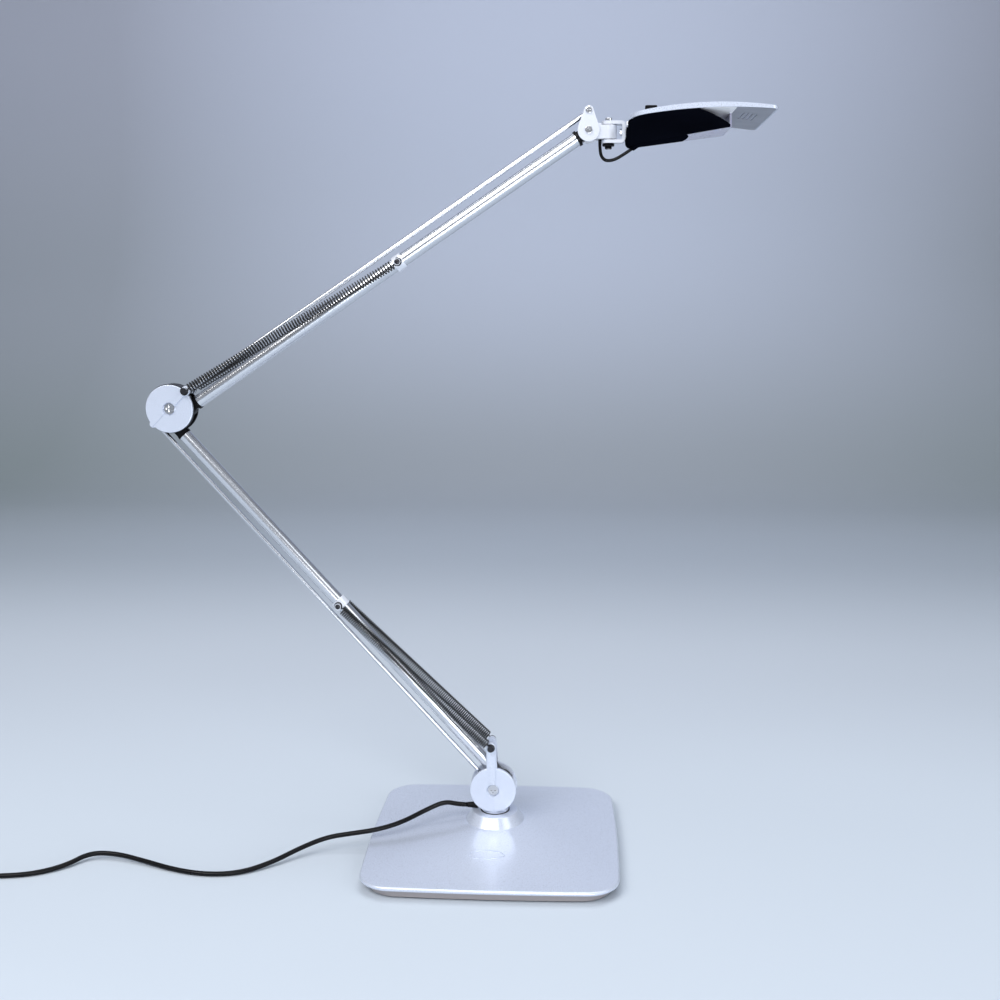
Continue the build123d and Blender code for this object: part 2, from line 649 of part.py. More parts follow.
def lower_arm_pivot_pin():
    return y_cylinder(LOWER_TUBE_A, PIN_R, -FACE + 1, FACE - 1)


def elbow_core():
    """The black drum between the elbow discs: two cheeks joined by an island behind the pivots."""
    outline = disc_sketch(ELBOW_C, ELBOW_CORE_R) + disc_sketch(LOWER_ROD_B, PIN_R + 1.0)
    outline += tapered_bar(ELBOW_C, ELBOW_LUG_R + 0.01, UPPER_ROD_A, ELBOW_LUG_R)
    core = slab(outline, -JOINT_HALF, JOINT_HALF)
    slot = slab(Pos(ELBOW_C.X, ELBOW_C.Z) * Circle(2 * CORE_R), -SLOT_HALF, SLOT_HALF)
    away = ELBOW_C + heading(ELBOW_ISLAND_ANGLE) * (ELBOW_ISLAND + CORE_R)
    island = Pos(away.X, away.Z) * Rot(0, 0, ELBOW_ISLAND_ANGLE) * Rectangle(2 * CORE_R, 3 * CORE_R)
    slot -= slab(island, -SLOT_HALF - 1, SLOT_HALF + 1)
    core -= slot
    for point in (LOWER_TUBE_B, UPPER_TUBE_A, LOWER_ROD_B, UPPER_ROD_A, ELBOW_C):
        core -= y_cylinder(point, PIN_R, -JOINT_HALF - 1, JOINT_HALF + 1)
    return core


def elbow_pivot_pins():
    return [y_cylinder(p, PIN_R, -JOINT_HALF, JOINT_HALF) for p in (LOWER_TUBE_B, UPPER_TUBE_A, LOWER_ROD_B)]


def elbow_screws():
    """A short headed screw in the middle of each elbow disc."""
    screws = []
    seat = FACE - COUNTERBORE_T
    for side in (-1, 1):
        low, high = sorted((side * (SLOT_HALF + 0.1), side * seat))
        screw = y_cylinder(ELBOW_C, PIN_R, low, high)
        low, high = sorted((side * seat, side * (seat + SCREW_HEAD_T)))
        screw += y_cylinder(ELBOW_C, SCREW_HEAD_R, low, high)
        screws.append(screw - cross_recess(ELBOW_C, side * (seat + SCREW_HEAD_T)))
    return screws


def upper_spring_pin():
    """The pin through the elbow that carries the upper rod and, outside, both upper springs."""
    pin = y_cylinder(UPPER_ROD_A, PIN_R, -FACE - RIB_T, FACE + RIB_T)
    return pin + spring_post(UPPER_ROD_A, -1, FACE) + spring_post(UPPER_ROD_A, 1, FACE)


# ---- arms -----------------------------------------------------------------------------------------
def arm_tube(start, direction, d0, d1):
    return rod(start, direction, TUBE_R, d0, d1) - rod(start, direction, TUBE_BORE, d0 - 1, d1 + 1)


def arm_end(pivot, direction, boss_r, neck_start, neck_r, half=END_HALF, pin_r=PIN_R, flat=False):
    """The end casting of a tube: a bored boss, a tongue, a neck ring and a spigot in the tube."""
    boss = y_cylinder(pivot, boss_r, -half, half)
    neck_end = neck_start + NECK_L
    reach = pivot + direction * neck_end
    tongue = slab(tapered_bar(pivot, END_TONGUE + 0.01, reach, END_TONGUE), -half, half)
    stop = rod(pivot, direction, 30, neck_end, neck_end + 30)
    end = boss + (tongue - stop)
    neck = rod(pivot, direction, neck_r, neck_start, neck_end)
    if flat:
        neck &= slab(disc_sketch(pivot, 2 * neck_end), -half, half)
    end += neck
    end += rod(pivot, direction, TUBE_BORE - RUN, neck_end, neck_end + SPIGOT_L)
    end -= rod(pivot, direction, WIRE_BORE, boss_r + 1, neck_end + SPIGOT_L + 1)
    return end - y_cylinder(pivot, pin_r + RUN, -half - 1, half + 1)


def spring_collar(pivot, direction, distance):
    """The ring clamped on a tube, with a headed post each side for the springs."""
    centre = pivot + direction * distance
    half = SPRING_COLLAR_L / 2
    ring = rod(pivot, direction, SPRING_COLLAR_R, distance - half, distance + half)
    ring = fillet(ring.edges(), 0.5)
    for side in (-1, 1):
        ring += spring_post(centre, side, TUBE_R + 0.5)
    return ring - rod(pivot, direction, TUBE_R + RUN / 2, distance - half - 1, distance + half + 1)


def link_rod(a, b, bore_a, bore_b):
    """A thin rod with a flat eye at each end."""
    bar = tube_along(Wire([Edge.make_line(a, b)]), ROD_R)
    for point in (a, b):
        bar += y_cylinder(point, EYE_R, -EYE_HALF, EYE_HALF)
    bar -= y_cylinder(a, bore_a, -EYE_HALF - 1, EYE_HALF + 1)
    return bar - y_cylinder(b, bore_b, -EYE_HALF - 1, EYE_HALF + 1)


def lower_link_rod():
    return link_rod(LOWER_ROD_A, LOWER_ROD_B, BOLT_R + RUN, PIN_R + OPEN_PIVOT)


def upper_link_rod():
    return link_rod(UPPER_ROD_A, UPPER_ROD_B, PIN_R + RUN, PIN_R + OPEN_PIVOT)


LOWER_TUBE_SPAN = (LOWER_NECK_START + NECK_L, LOWER_LENGTH - ELBOW_NECK_START - NECK_L)
UPPER_TUBE_SPAN = (UPPER_NECK_START + NECK_L, UPPER_LENGTH - CAP_NECK_START - NECK_L)


def arm_wire(start, direction, span):
    """The supply wire inside a tube, from one end casting's bore to the other's."""
    return rod(start, direction, WIRE_R, span[0] - 2, span[1] + 2)


# ---- springs --------------------------------------------------------------------------------------
def spring(post, far_post, side, turns):
    """A tension spring: hook, open turns and hook, as one round wire between two posts."""
    offset = Vector(0, side * SPRING_Y, 0)
    a = post + offset
    b = far_post + offset
    along = (b - a).normalized()
    across = Vector(0, 1, 0)
    lift = across.cross(along)

    def round_axis(distance, phase):
        spoke = lift * cos(phase) + across * sin(phase)
        return a + along * distance + spoke * COIL_MEAN_R

    length = (b - a).length
    climb = (length - 2 * HOOK_LEAD) / (turns * 2 * pi)

    def tangent(phase):
        round_way = across * cos(phase) - lift * sin(phase)
        return (round_way * COIL_MEAN_R + along * climb).normalized()

    points = []
    tangents = []
    for centre, way in ((a, 1), (b, -1)):
        hook = [
            (centre - lift * HOOK_R, along * -way),
            (centre - along * way * HOOK_R, lift),
            (centre + lift * HOOK_R, along * way),
        ]
        if way < 0:
            hook = [(p, t * -1) for p, t in reversed(hook)]
            for k in range(2 * turns + 1):
                points.append(round_axis(HOOK_LEAD + climb * pi * k, pi / 2 + pi * k))
                tangents.append(tangent(pi / 2 + pi * k))
        points += [p for p, t in hook]
        tangents += [t for p, t in hook]
    wire = biarc_wire(points, tangents)
    print("spring gap to itself %.2f" % least_gap(wire, SPRING_WIRE, 1600, 30))
    return tube_along(wire, SPRING_WIRE / 2)


# ---- head bracket and pan joint ----------------------------------------------------------------------
def bracket_plate(side):
    low, high = sorted((side * PLATE_IN, side * (PLATE_IN + PLATE_T)))
    plate = slab(tapered_bar(UPPER_TUBE_B, PLATE_LOBE_R, UPPER_ROD_B, PLATE_TIP_R), low, high)
    plate = fillet(plate.edges().group_by(Axis.Y)[0 if side < 0 else -1], 0.4)
    plate -= y_cylinder(UPPER_TUBE_B, BOLT_R, low - 1, high + 1)
    return plate - y_cylinder(UPPER_ROD_B, PIN_R, low - 1, high + 1)


def through_screw(point, radius, head_r):
    """A headed screw through both bracket plates, and its nut."""
    outer = PLATE_IN + PLATE_T
    screw = y_cylinder(point, radius, -outer, outer + BRACKET_HEAD_T)
    head = y_cylinder(point, head_r, -outer - BRACKET_HEAD_T, -outer)
    head = fillet(head.edges().group_by(Axis.Y)[0], 0.5)
    screw += head
    screw -= cross_recess(point, -outer - BRACKET_HEAD_T, 1.1 * head_r)
    nut = slab(Pos(point.X, point.Z) * RegularPolygon(head_r, 6), outer, outer + BRACKET_HEAD_T)
    return [screw, nut - y_cylinder(point, radius, outer - 1, outer + BRACKET_HEAD_T + 1)]


def bracket_screws():
    return through_screw(UPPER_TUBE_B, BOLT_R, BRACKET_SCREW_HEAD) + through_screw(
        UPPER_ROD_B, PIN_R, ROD_SCREW_HEAD)


def pan_block():
    """Two ears on the tilt screw, and the upright barrel that the yoke turns on."""
    web_x = UPPER_TUBE_B.X + CAP_BOSS_R + GAP
    low = PAN_C.Z - BARREL_H / 2
    ears = slab(tapered_bar(UPPER_TUBE_B, EAR_R, PAN_C, BARREL_H / 2), -EAR_OUT, EAR_OUT)
    ears -= slab(disc_sketch(UPPER_TUBE_B, 2 * CAP_BOSS_R), -EAR_IN, EAR_IN)
    web = Pos((web_x + PAN_C.X) / 2, ARM_Y, PAN_C.Z) * Box(PAN_C.X - web_x, 2 * EAR_OUT, BARREL_H)
    barrel = z_cylinder(PAN_C.X, ARM_Y, BARREL_R, low, BARREL_TOP)
    block = (ears & Pos(PAN_C.X - PAN_REACH, ARM_Y, PAN_C.Z) * Box(2 * PAN_REACH, 40, 4 * BARREL_H)) + web + barrel
    sweep = sqrt(YOKE_HALF ** 2 + EAR_OUT ** 2) + GAP
    block -= z_cylinder(PAN_C.X, ARM_Y, sweep, BARREL_TOP, BARREL_TOP + BARREL_H)
    block -= z_cylinder(PAN_C.X, ARM_Y, sweep, low - BARREL_H, low)
    block -= z_cylinder(PAN_C.X, ARM_Y, PAN_BOLT_R + RUN, low - 1, BARREL_TOP + 1)
    return block - y_cylinder(UPPER_TUBE_B, BOLT_R + RUN, -EAR_OUT - 1, EAR_OUT + 1)


def pan_washers():
    washers = []
    for way in (-1, 1):
        z0, z1 = sorted((way * (BARREL_H / 2 + RUN), way * (BARREL_H / 2 + RUN + PAN_WASHER_T)))
        ring = z_cylinder(PAN_C.X, ARM_Y, PAN_WASHER_R, PAN_C.Z + z0, PAN_C.Z + z1)
        washers.append(ring - z_cylinder(PAN_C.X, ARM_Y, PAN_BOLT_R, PAN_C.Z - 20, PAN_C.Z + 20))
    return washers


def head_yoke():
    """A U of flat strip, open towards the arm, turning on the pan bolt."""
    back = PAN_C.X + YOKE_REACH
    front = PAN_C.X - YOKE_HALF
    centre = Pos((back + front) / 2, PAN_C.Z)
    outer = centre * Rectangle(back - front, 2 * YOKE_OUT)
    right = outer.vertices().group_by(Axis.X)[-1]
    outer = fillet(right, YOKE_CORNER)
    inner = Pos(-YOKE_T, 0) * centre * Rectangle(back - front, 2 * YOKE_IN)
    inner = fillet(inner.vertices().group_by(Axis.X)[-1], YOKE_CORNER - YOKE_T + 0.2)
    yoke = slab(outer - inner, -YOKE_HALF, YOKE_HALF)
    plan = Pos(PAN_C.X, ARM_Y) * Circle(YOKE_HALF)
    plan += Pos(PAN_C.X + YOKE_REACH / 2, ARM_Y) * Rectangle(YOKE_REACH, 2 * YOKE_HALF)
    yoke &= Pos(0, 0, PAN_C.Z - 20) * extrude(plan, amount=40)
    yoke -= z_cylinder(PAN_C.X, ARM_Y, PAN_BOLT_R, PAN_C.Z - 20, PAN_C.Z + 20)
    return yoke - rod(PAN_C, Vector(1, 0, 0), STEM_R, 0, 2 * YOKE_REACH)


def pan_bolt():
    top = PAN_C.Z + YOKE_OUT
    low = PAN_C.Z - YOKE_OUT - 2 * KNOB_H - 0.6
    bolt = z_cylinder(PAN_C.X, ARM_Y, PAN_BOLT_R, low, top)
    head = z_cylinder(PAN_C.X, ARM_Y, PAN_HEAD_R, top, top + PAN_HEAD_H)
    head = fillet(head.edges().group_by(Axis.Z)[-1], 0.6)
    socket = Pos(PAN_C.X, ARM_Y, top + PAN_HEAD_H - 1.2) * extrude(RegularPolygon(1.6, 6), amount=2)
    return bolt + head - socket


def pan_knob():
    """The lobed thumb nut under the yoke."""
    top = PAN_C.Z - YOKE_OUT - RUN
    knob = z_cylinder(PAN_C.X, ARM_Y, KNOB_R, top - KNOB_H, top)
    knob = fillet(knob.edges(), 0.5)
    for k in range(KNOB_LOBES):
        angle = 2 * pi * k / KNOB_LOBES
        x = PAN_C.X + (KNOB_R + 0.5) * cos(angle)
        y = ARM_Y + (KNOB_R + 0.5) * sin(angle)
        knob -= z_cylinder(x, y, 1.1, top - KNOB_H - 1, top + 1)
    knob += z_cylinder(PAN_C.X, ARM_Y, KNOB_HUB_R, top - 2 * KNOB_H, top - KNOB_H + 0.5)
    return knob - z_cylinder(PAN_C.X, ARM_Y, PAN_BOLT_R + RUN, top - 3 * KNOB_H, top + 1)


def head_stem():
    """The screw that holds the head on the yoke's web, with its spacer nut outside."""
    along = Vector(1, 0, 0)
    inside = YOKE_REACH - YOKE_T
    stem = rod(PAN_C, along, STEM_R, inside - STEM_HEAD_T, YOKE_REACH + HEAD_GAP + POD_WALL + 3)
    stem += rod(PAN_C, along, 3.2, inside - STEM_HEAD_T, inside)
    nut_plane = Plane(origin=PAN_C + along * YOKE_REACH, z_dir=along)
    nut = nut_plane * extrude(RegularPolygon(STEM_NUT_R, 6), amount=HEAD_GAP)
    return [stem, nut - rod(PAN_C, along, STEM_R, 0, 2 * YOKE_REACH)]


# ---- head -------------------------------------------------------------------------------------------
def head_plan(inset, start, length):
    """The head's rounded outline in plan, drawn in by inset."""
    outline = Pos(start + length / 2, ARM_Y) * Rectangle(length - 2 * inset, HEAD_W - 2 * inset)
    outline = fillet(outline.vertices().group_by(Axis.X)[0], SHELL_CORNER - inset)
    return fillet(outline.vertices().group_by(Axis.X)[-1], SHELL_FRONT_CORNER - inset)


def bowed_height(x, back, middle, front, middle_at):
    """Height on a parabola through the shell's back, a middle place and its front."""
    d = x - SHELL_X
    at_back = back * (d - middle_at) * (d - SHELL_L) / (middle_at * SHELL_L)
    at_middle = middle * d * (d - SHELL_L) / (middle_at * (middle_at - SHELL_L))
    at_front = front * d * (d - middle_at) / (SHELL_L * (SHELL_L - middle_at))
    return HEAD_Z + at_back + at_middle + at_front


def top_height(x):
    """Height of the shell's top at its sides."""
    return bowed_height(x, TOP_BACK_Z, TOP_MID_Z, TOP_FRONT_Z, TOP_MID_AT)


def rim_height(x):
    """Height of the shell's rim."""
    return bowed_height(x, RIM_BACK_Z, RIM_MID_Z, RIM_FRONT_Z, RIM_MID_AT)


def under_the_top(drop):
    """All that lies under the crowned top, lowered by drop, and reaching past the shell's sides."""
    x0 = SHELL_X - SHELL_MARGIN
    x1 = SHELL_X + SHELL_L + SHELL_MARGIN
    middle = SHELL_X + TOP_MID_AT
    low = HEAD_Z - SHELL_DEPTH
    reach = HEAD_W / 2 + SHELL_MARGIN
    sections = []
    for side, rise in ((reach, 0), (0, SHELL_CROWN), (-reach, 0)):
        back = top_height(x0) - drop
        front = top_height(x1) - drop
        top = ThreePointArc((x1, front), (middle, top_height(middle) + rise - drop), (x0, back))
        base = Polyline((x0, back), (x0, low), (x1, low), (x1, front))
        plane = Plane(origin=(0, ARM_Y + side, 0), x_dir=(1, 0, 0), z_dir=(0, -1, 0))
        sections.append(plane * make_face(Curve() + [top, base]))
    return loft(sections)


def shell_form(inset, drop):
    """The solid under the shell's top, within its outline drawn in by inset."""
    plan = head_plan(inset, SHELL_X, SHELL_L)
    return under_the_top(drop) & Pos(0, 0, HEAD_Z - SHELL_DEPTH / 2) * extrude(plan, amount=SHELL_DEPTH)


def below_the_rim():
    """All that lies under the shell's bowed rim."""
    x0 = SHELL_X - SHELL_MARGIN
    x1 = SHELL_X + SHELL_L + SHELL_MARGIN
    middle = SHELL_X + RIM_MID_AT
    low = HEAD_Z - SHELL_DEPTH
    rim = ThreePointArc((x1, rim_height(x1)), (middle, rim_height(middle)), (x0, rim_height(x0)))
    sides = Polyline((x0, rim_height(x0)), (x0, low), (x1, low), (x1, rim_height(x1)))
    return slab(make_face(Curve() + [rim, sides]), -HEAD_W, HEAD_W)


def vent_slots():
    """Cutters for the vents in the shell and in the panel below it."""
    cutters = []
    for k in range(VENT_COUNT):
        x = HEAD_X + VENT_AT + VENT_PITCH * k
        cutters.append(Pos(x, ARM_Y, HEAD_Z + TOP_MID_Z) * extrude(
            SlotOverall(VENT_L, VENT_W, rotation=90), amount=8, both=True))
    return cutters


def button_box(clearance, low, high):
    x = HEAD_X + BUTTON_AT
    y = ARM_Y - BUTTON_SIDE
    sketch = RectangleRounded(BUTTON_L + 2 * clearance, BUTTON_W + 2 * clearance, 1.5 + clearance)
    return Pos(x, y, low) * extrude(sketch, amount=high - low)


def head_shell():
    shell = shell_form(0, 0) - shell_form(SHELL_WALL, SHELL_WALL) - below_the_rim()
    for cutter in vent_slots():
        shell -= cutter
    return shell - button_box(GAP, HEAD_Z, HEAD_Z + 40)


def pod_form(inset, start, end):
    """The housing's keel form, between two distances from its back."""
    faces = []
    for distance in (start, end):
        share = distance / POD_L
        keel = HEAD_Z + POD_BACK_Z + (POD_FRONT_Z - POD_BACK_Z) * share + inset
        half = POD_BACK_HALF + (POD_FRONT_HALF - POD_BACK_HALF) * share - inset / 2
        side = HEAD_W / 2 - POD_INSET - inset
        rim = HEAD_Z + POD_SIDE_Z + inset / 2
        top = HEAD_Z + 30
        outline = [(-side, top), (-side, rim), (-half, keel), (half, keel), (side, rim), (side, top)]
        plane = Plane(origin=(HEAD_X + distance, ARM_Y, 0), x_dir=(0, 1, 0), z_dir=(1, 0, 0))
        faces.append(plane * make_face(Polyline(*outline, close=True)))
    return loft(faces, ruled=True)


def fin_tip():
    share = 1 - FIN_TIP_BACK / POD_L
    return HEAD_X + POD_L - FIN_TIP_BACK, POD_BACK_HALF + (POD_FRONT_HALF - POD_BACK_HALF) * share


def keel_half(distance):
    return POD_BACK_HALF + (POD_FRONT_HALF - POD_BACK_HALF) * distance / POD_L


def lens_edge():
    """The bowed line between the housing's keel and the diffuser, in plan."""
    half = keel_half(LENS_START)
    x = HEAD_X + LENS_START
    return ThreePointArc((x, ARM_Y - half), (x + LENS_BOW, ARM_Y), (x, ARM_Y + half))


def housing_mask():
    """Plan of the dark housing: its back part and the two fins beside the diffuser."""
    tip_x, tip_half = fin_tip()
    side = HEAD_W / 2 - POD_INSET
    start = HEAD_X + FIN_START
    far = HEAD_W
    middle_x = (start + tip_x) / 2 + FIN_BOW * 0.7
    middle_y = (side + tip_half) / 2 + FIN_BOW
    half = keel_half(LENS_START)
    lens_x = HEAD_X + LENS_START
    near = Polyline((lens_x, ARM_Y - half), (tip_x, ARM_Y - tip_half))
    near_fin = ThreePointArc((tip_x, ARM_Y - tip_half), (middle_x, ARM_Y - middle_y), (start, ARM_Y - side))
    back = Polyline((start, ARM_Y - side), (start, ARM_Y - far), (HEAD_X - 20, ARM_Y - far),
                    (HEAD_X - 20, ARM_Y + far), (start, ARM_Y + far), (start, ARM_Y + side))
    far_fin = ThreePointArc((start, ARM_Y + side), (middle_x, ARM_Y + middle_y), (tip_x, ARM_Y + tip_half))
    other = Polyline((tip_x, ARM_Y + tip_half), (lens_x, ARM_Y + half))
    plan = make_face(Curve() + [near, near_fin, back, far_fin, other, lens_edge()])
    return Pos(0, 0, HEAD_Z - 60) * extrude(plan, amount=120)


def lens_mask():
    """Plan of the diffuser, between the two fins."""
    half = keel_half(LENS_START)
    front_half = keel_half(POD_L)
    x = HEAD_X + LENS_START
    front = HEAD_X + POD_L
    sides = Polyline((x, ARM_Y + half), (front, ARM_Y + front_half), (front, ARM_Y - front_half), (x, ARM_Y - half))
    plan = make_face(Curve() + [lens_edge(), sides])
    return Pos(0, 0, HEAD_Z - 60) * extrude(plan, amount=120)


def head_room():
    """The space that the housing may fill: inside the shell, and all that is below its back edge."""
    inner = shell_form(SHELL_WALL + 0.1, SHELL_WALL + 0.1)
    below = Pos(HEAD_X + HEAD_L / 2, ARM_Y, HEAD_Z + RIM_BACK_Z - 0.1 - 30) * Box(2 * HEAD_L, 2 * HEAD_W, 60)
    return inner + below


def cable_end():
    """Middle of the outer face of the boss that takes the head cable."""
    keel = HEAD_Z + POD_BACK_Z + (POD_FRONT_Z - POD_BACK_Z) * CABLE_IN_AT / POD_L
    return at(HEAD_X + CABLE_IN_AT, keel) - heading(CABLE_IN_ANGLE) * CABLE_BOSS_OUT


def rounded_pod():
    """The housing's outer form, its lower back edges rounded."""
    pod = pod_form(0, 0, POD_L)
    back = pod.faces().sort_by(Axis.X)[0]
    return fillet(back.edges().sort_by(Axis.Z)[:-1], POD_BACK_ROUND)


def head_housing():
    corners = Pos(0, 0, HEAD_Z - 60) * extrude(head_plan(POD_INSET, HEAD_X - POD_INSET, HEAD_L + 2 * POD_INSET),
                                               amount=120)
    walls = rounded_pod() & corners
    walls += rod(cable_end(), heading(CABLE_IN_ANGLE), CABLE_BOSS_R, 0, CABLE_BOSS_OUT + POD_WALL)
    walls -= pod_form(POD_WALL, POD_WALL, POD_L + 5)
    housing = walls & housing_mask() & head_room()
    housing -= rod(PAN_C, Vector(1, 0, 0), STEM_R, YOKE_REACH, YOKE_REACH + HEAD_GAP + POD_WALL + 4)
    for side in (-1, 1):
        housing -= rod(head_screw_point(side), Vector(1, 0, 0), HEAD_SCREW_R, -1, POD_WALL + 1)
    return housing


def head_screw_point(side):
    return Vector(HEAD_X, ARM_Y + side * HEAD_SCREW_SIDE, HEAD_Z + HEAD_SCREW_Z)


def head_screws():
    """Two screws in the housing's back wall."""
    screws = []
    along = Vector(1, 0, 0)
    for side in (-1, 1):
        point = head_screw_point(side)
        screw = rod(point, along, HEAD_SCREW_R, -0.2, POD_WALL + 4)
        head = rod(point, along, HEAD_SCREW_HEAD, -1.4, 0)
        screws.append(screw + fillet(head.edges().group_by(Axis.X)[0], 0.5))
    return screws


def diffuser():
    """The translucent cover under the lamp, with its upturned front."""
    walls = pod_form(0, 0, POD_L) - pod_form(POD_WALL, POD_WALL - 5, POD_L - POD_WALL)
    ceiling = HEAD_Z + REFLECTOR_Z - 0.1
    low = Pos(HEAD_X + HEAD_L / 2, ARM_Y, ceiling - 40) * Box(2 * HEAD_L, 2 * HEAD_W, 80)
    return walls & lens_mask() & low


def reflector():
    """The white sheet over the lamp, with a back wall that the lamp passes through."""
    x0 = HEAD_X + REFLECTOR_START
    x1 = HEAD_X + POD_L
    z0 = HEAD_Z + REFLECTOR_Z
    half = HEAD_W / 2 - POD_INSET - POD_WALL - GAP
    sheet = Pos((x0 + x1) / 2, ARM_Y, z0 + REFLECTOR_T / 2) * Box(x1 - x0, 2 * half, REFLECTOR_T)
    keel = HEAD_Z + POD_BACK_Z + (POD_FRONT_Z - POD_BACK_Z) * (REFLECTOR_START + REFLECTOR_T) / POD_L
    floor = keel + POD_WALL + GAP
    wall_half = keel_half(REFLECTOR_START) - 1.5
    wall = Pos(x0 + REFLECTOR_T / 2, ARM_Y, (z0 + floor) / 2) * Box(REFLECTOR_T, 2 * wall_half, z0 - floor)
    window = Pos(x0, ARM_Y, lamp_z()) * Box(6, LAMP_PITCH + 2 * LAMP_R + 1, 2 * LAMP_R + 0.6)
    return (sheet & head_room()) + wall - window


def lamp_z():
    """Height of the lamp's tubes, just under the reflector."""
    return HEAD_Z + REFLECTOR_Z - LAMP_R - 0.5


def holder_front():
    return HEAD_X + REFLECTOR_START - 1.0


def lamp_tube():
    """A compact twin-tube lamp: base, two tubes and the bridge at their far end."""
    start = Vector(holder_front(), ARM_Y, lamp_z())
    along = Vector(1, 0, 0)
    lamp = Pos(start.X + 2.0, start.Y, start.Z) * Box(4, LAMP_PITCH + 2 * LAMP_R - 1, 2 * LAMP_R - 0.6)
    end = HEAD_X + POD_L - POD_WALL - LAMP_END_GAP - start.X
    for side in (-1, 1):
        tube = rod(start + Vector(0, side * LAMP_PITCH / 2, 0), along, LAMP_R, 3, end)
        lamp += fillet(tube.edges().group_by(Axis.X)[-1], LAMP_R * 0.6)
    bridge = Vector(start.X + end - 4.5, start.Y, start.Z)
    return lamp + rod(bridge, Vector(0, 1, 0), LAMP_R * 0.5, -LAMP_PITCH / 2, LAMP_PITCH / 2)


def gear_floor():
    """Height of the control gear's underside, clear of the sloping keel."""
    reach = POD_WALL + 2 + GEAR_L
    return HEAD_Z + POD_BACK_Z + (POD_FRONT_Z - POD_BACK_Z) * reach / POD_L + POD_WALL + GAP


def control_gear():
    middle = HEAD_X + POD_WALL + 2 + GEAR_L / 2
    return Pos(middle, ARM_Y, gear_floor() + GEAR_H / 2) * Box(GEAR_L, GEAR_W, GEAR_H)


def lampholder():
    low = gear_floor() + GEAR_H
    block = Box(HOLDER_L, HOLDER_W, HOLDER_H)
    block = fillet(block.edges().filter_by(Axis.X), 2)
    block = Pos(holder_front() - HOLDER_L / 2, ARM_Y, low + HOLDER_H / 2) * block
    return block & head_room()


def vent_panel():
    """The grey inner panel at the front, following the shell, with the same vents."""
    outer = shell_form(SHELL_WALL + 0.3, SHELL_WALL + 0.2)
    inner = shell_form(SHELL_WALL - 1, SHELL_WALL + 0.2 + VENT_PANEL_T)
    start = HEAD_X + POD_L + 0.6
    zone = Pos(start + 40, ARM_Y, HEAD_Z + 20) * Box(80, 2 * HEAD_W, 60)
    panel = (outer - inner) & zone
    for cutter in vent_slots():
        panel -= cutter
    return panel


def switch_button():
    low = HEAD_Z + BUTTON_BASE_Z
    button = button_box(0, low, low + BUTTON_H)
    return fillet(button.edges().group_by(Axis.Z)[-1], 0.8)


def head_cable():
    """The cable loop from the pan block to the housing's underside, below the knob."""
    end = cable_end()
    back = heading(CABLE_IN_ANGLE) * -1
    x = UPPER_TUBE_B.X + CAP_BOSS_R + GAP + WIRE_R + 0.4
    low = PAN_C.Z - CABLE_LOW
    turn = end + back * ((end.Z - low) / -back.Z - 4.5)
    points = [at(x, PAN_C.Z - BARREL_H / 2), at(x, low + 7.0), at(x + 3.6, low + 0.8), at(turn.X - 7.5, low), turn, end]
    return cord_tube(points, 2 * WIRE_R, "head_cable")


# ---- power cord -----------------------------------------------------------------------------------------
def cord_points():
    """The free run of the power cord, from the gland's tip to the coil's first turn."""
    tip = at(BASE_C.X - gland_start() - GLAND_L, BASE_C.Z + GLAND_Z)
    coil = coil_node(0)[0]
    middle = [Vector(*p) for p in CORD_ROUTE]
    return [tip, tip + Vector(-CORD_LEAD, 0, 0)] + middle + [coil + Vector(COIL_LEAD, 0, 0), coil]


def coil_node(k):
    """Place and heading of the coil's wire after k half turns."""
    per = COIL_LAYER_HALF_TURNS + 1
    layer = min(k // per, COIL_LAYERS - 1)
    step = k - per * layer
    inward = layer % 2 == 0
    wound = step if inward else COIL_LAYER_HALF_TURNS - step
    radius = COIL_R - COIL_PITCH / 2 * min(max(wound, 0), COIL_LAYER_HALF_TURNS)
    angle = pi / 2 + pi * k
    z = CORD_D / 2 + COIL_PITCH * layer
    place = Vector(COIL_X + radius * cos(angle), COIL_Y + radius * sin(angle), z)
    return place, Vector(-sin(angle), cos(angle), 0)


def coil_wire():
    """The unseen length, wound in four layers that spiral in and out."""
    half_turns = COIL_LAYERS * (COIL_LAYER_HALF_TURNS + 1) - 1
    nodes = [coil_node(k) for k in range(half_turns + 1)]
    points = [p for p, t in nodes]
    tangents = [t for p, t in nodes]
    last, way = nodes[-1]
    plug_z = PLUG_H / 2 + 0.1
    slope = (way + Vector(0, 0, -0.38)).normalized()
    points.append(last + way * 20 + Vector(0, 0, (plug_z - last.Z) * 0.35))
    tangents.append(slope)
    points.append(Vector(last.X + way.X * 42, last.Y, plug_z))
    tangents.append(way)
    return biarc_wire(points, tangents)


def power_cord_coil():
    wire = coil_wire()
    print("coil length %.1f" % wire.length, "gap to itself %.2f" % least_gap(wire, CORD_D, 1200, 60))
    return tube_along(wire, CORD_D / 2)


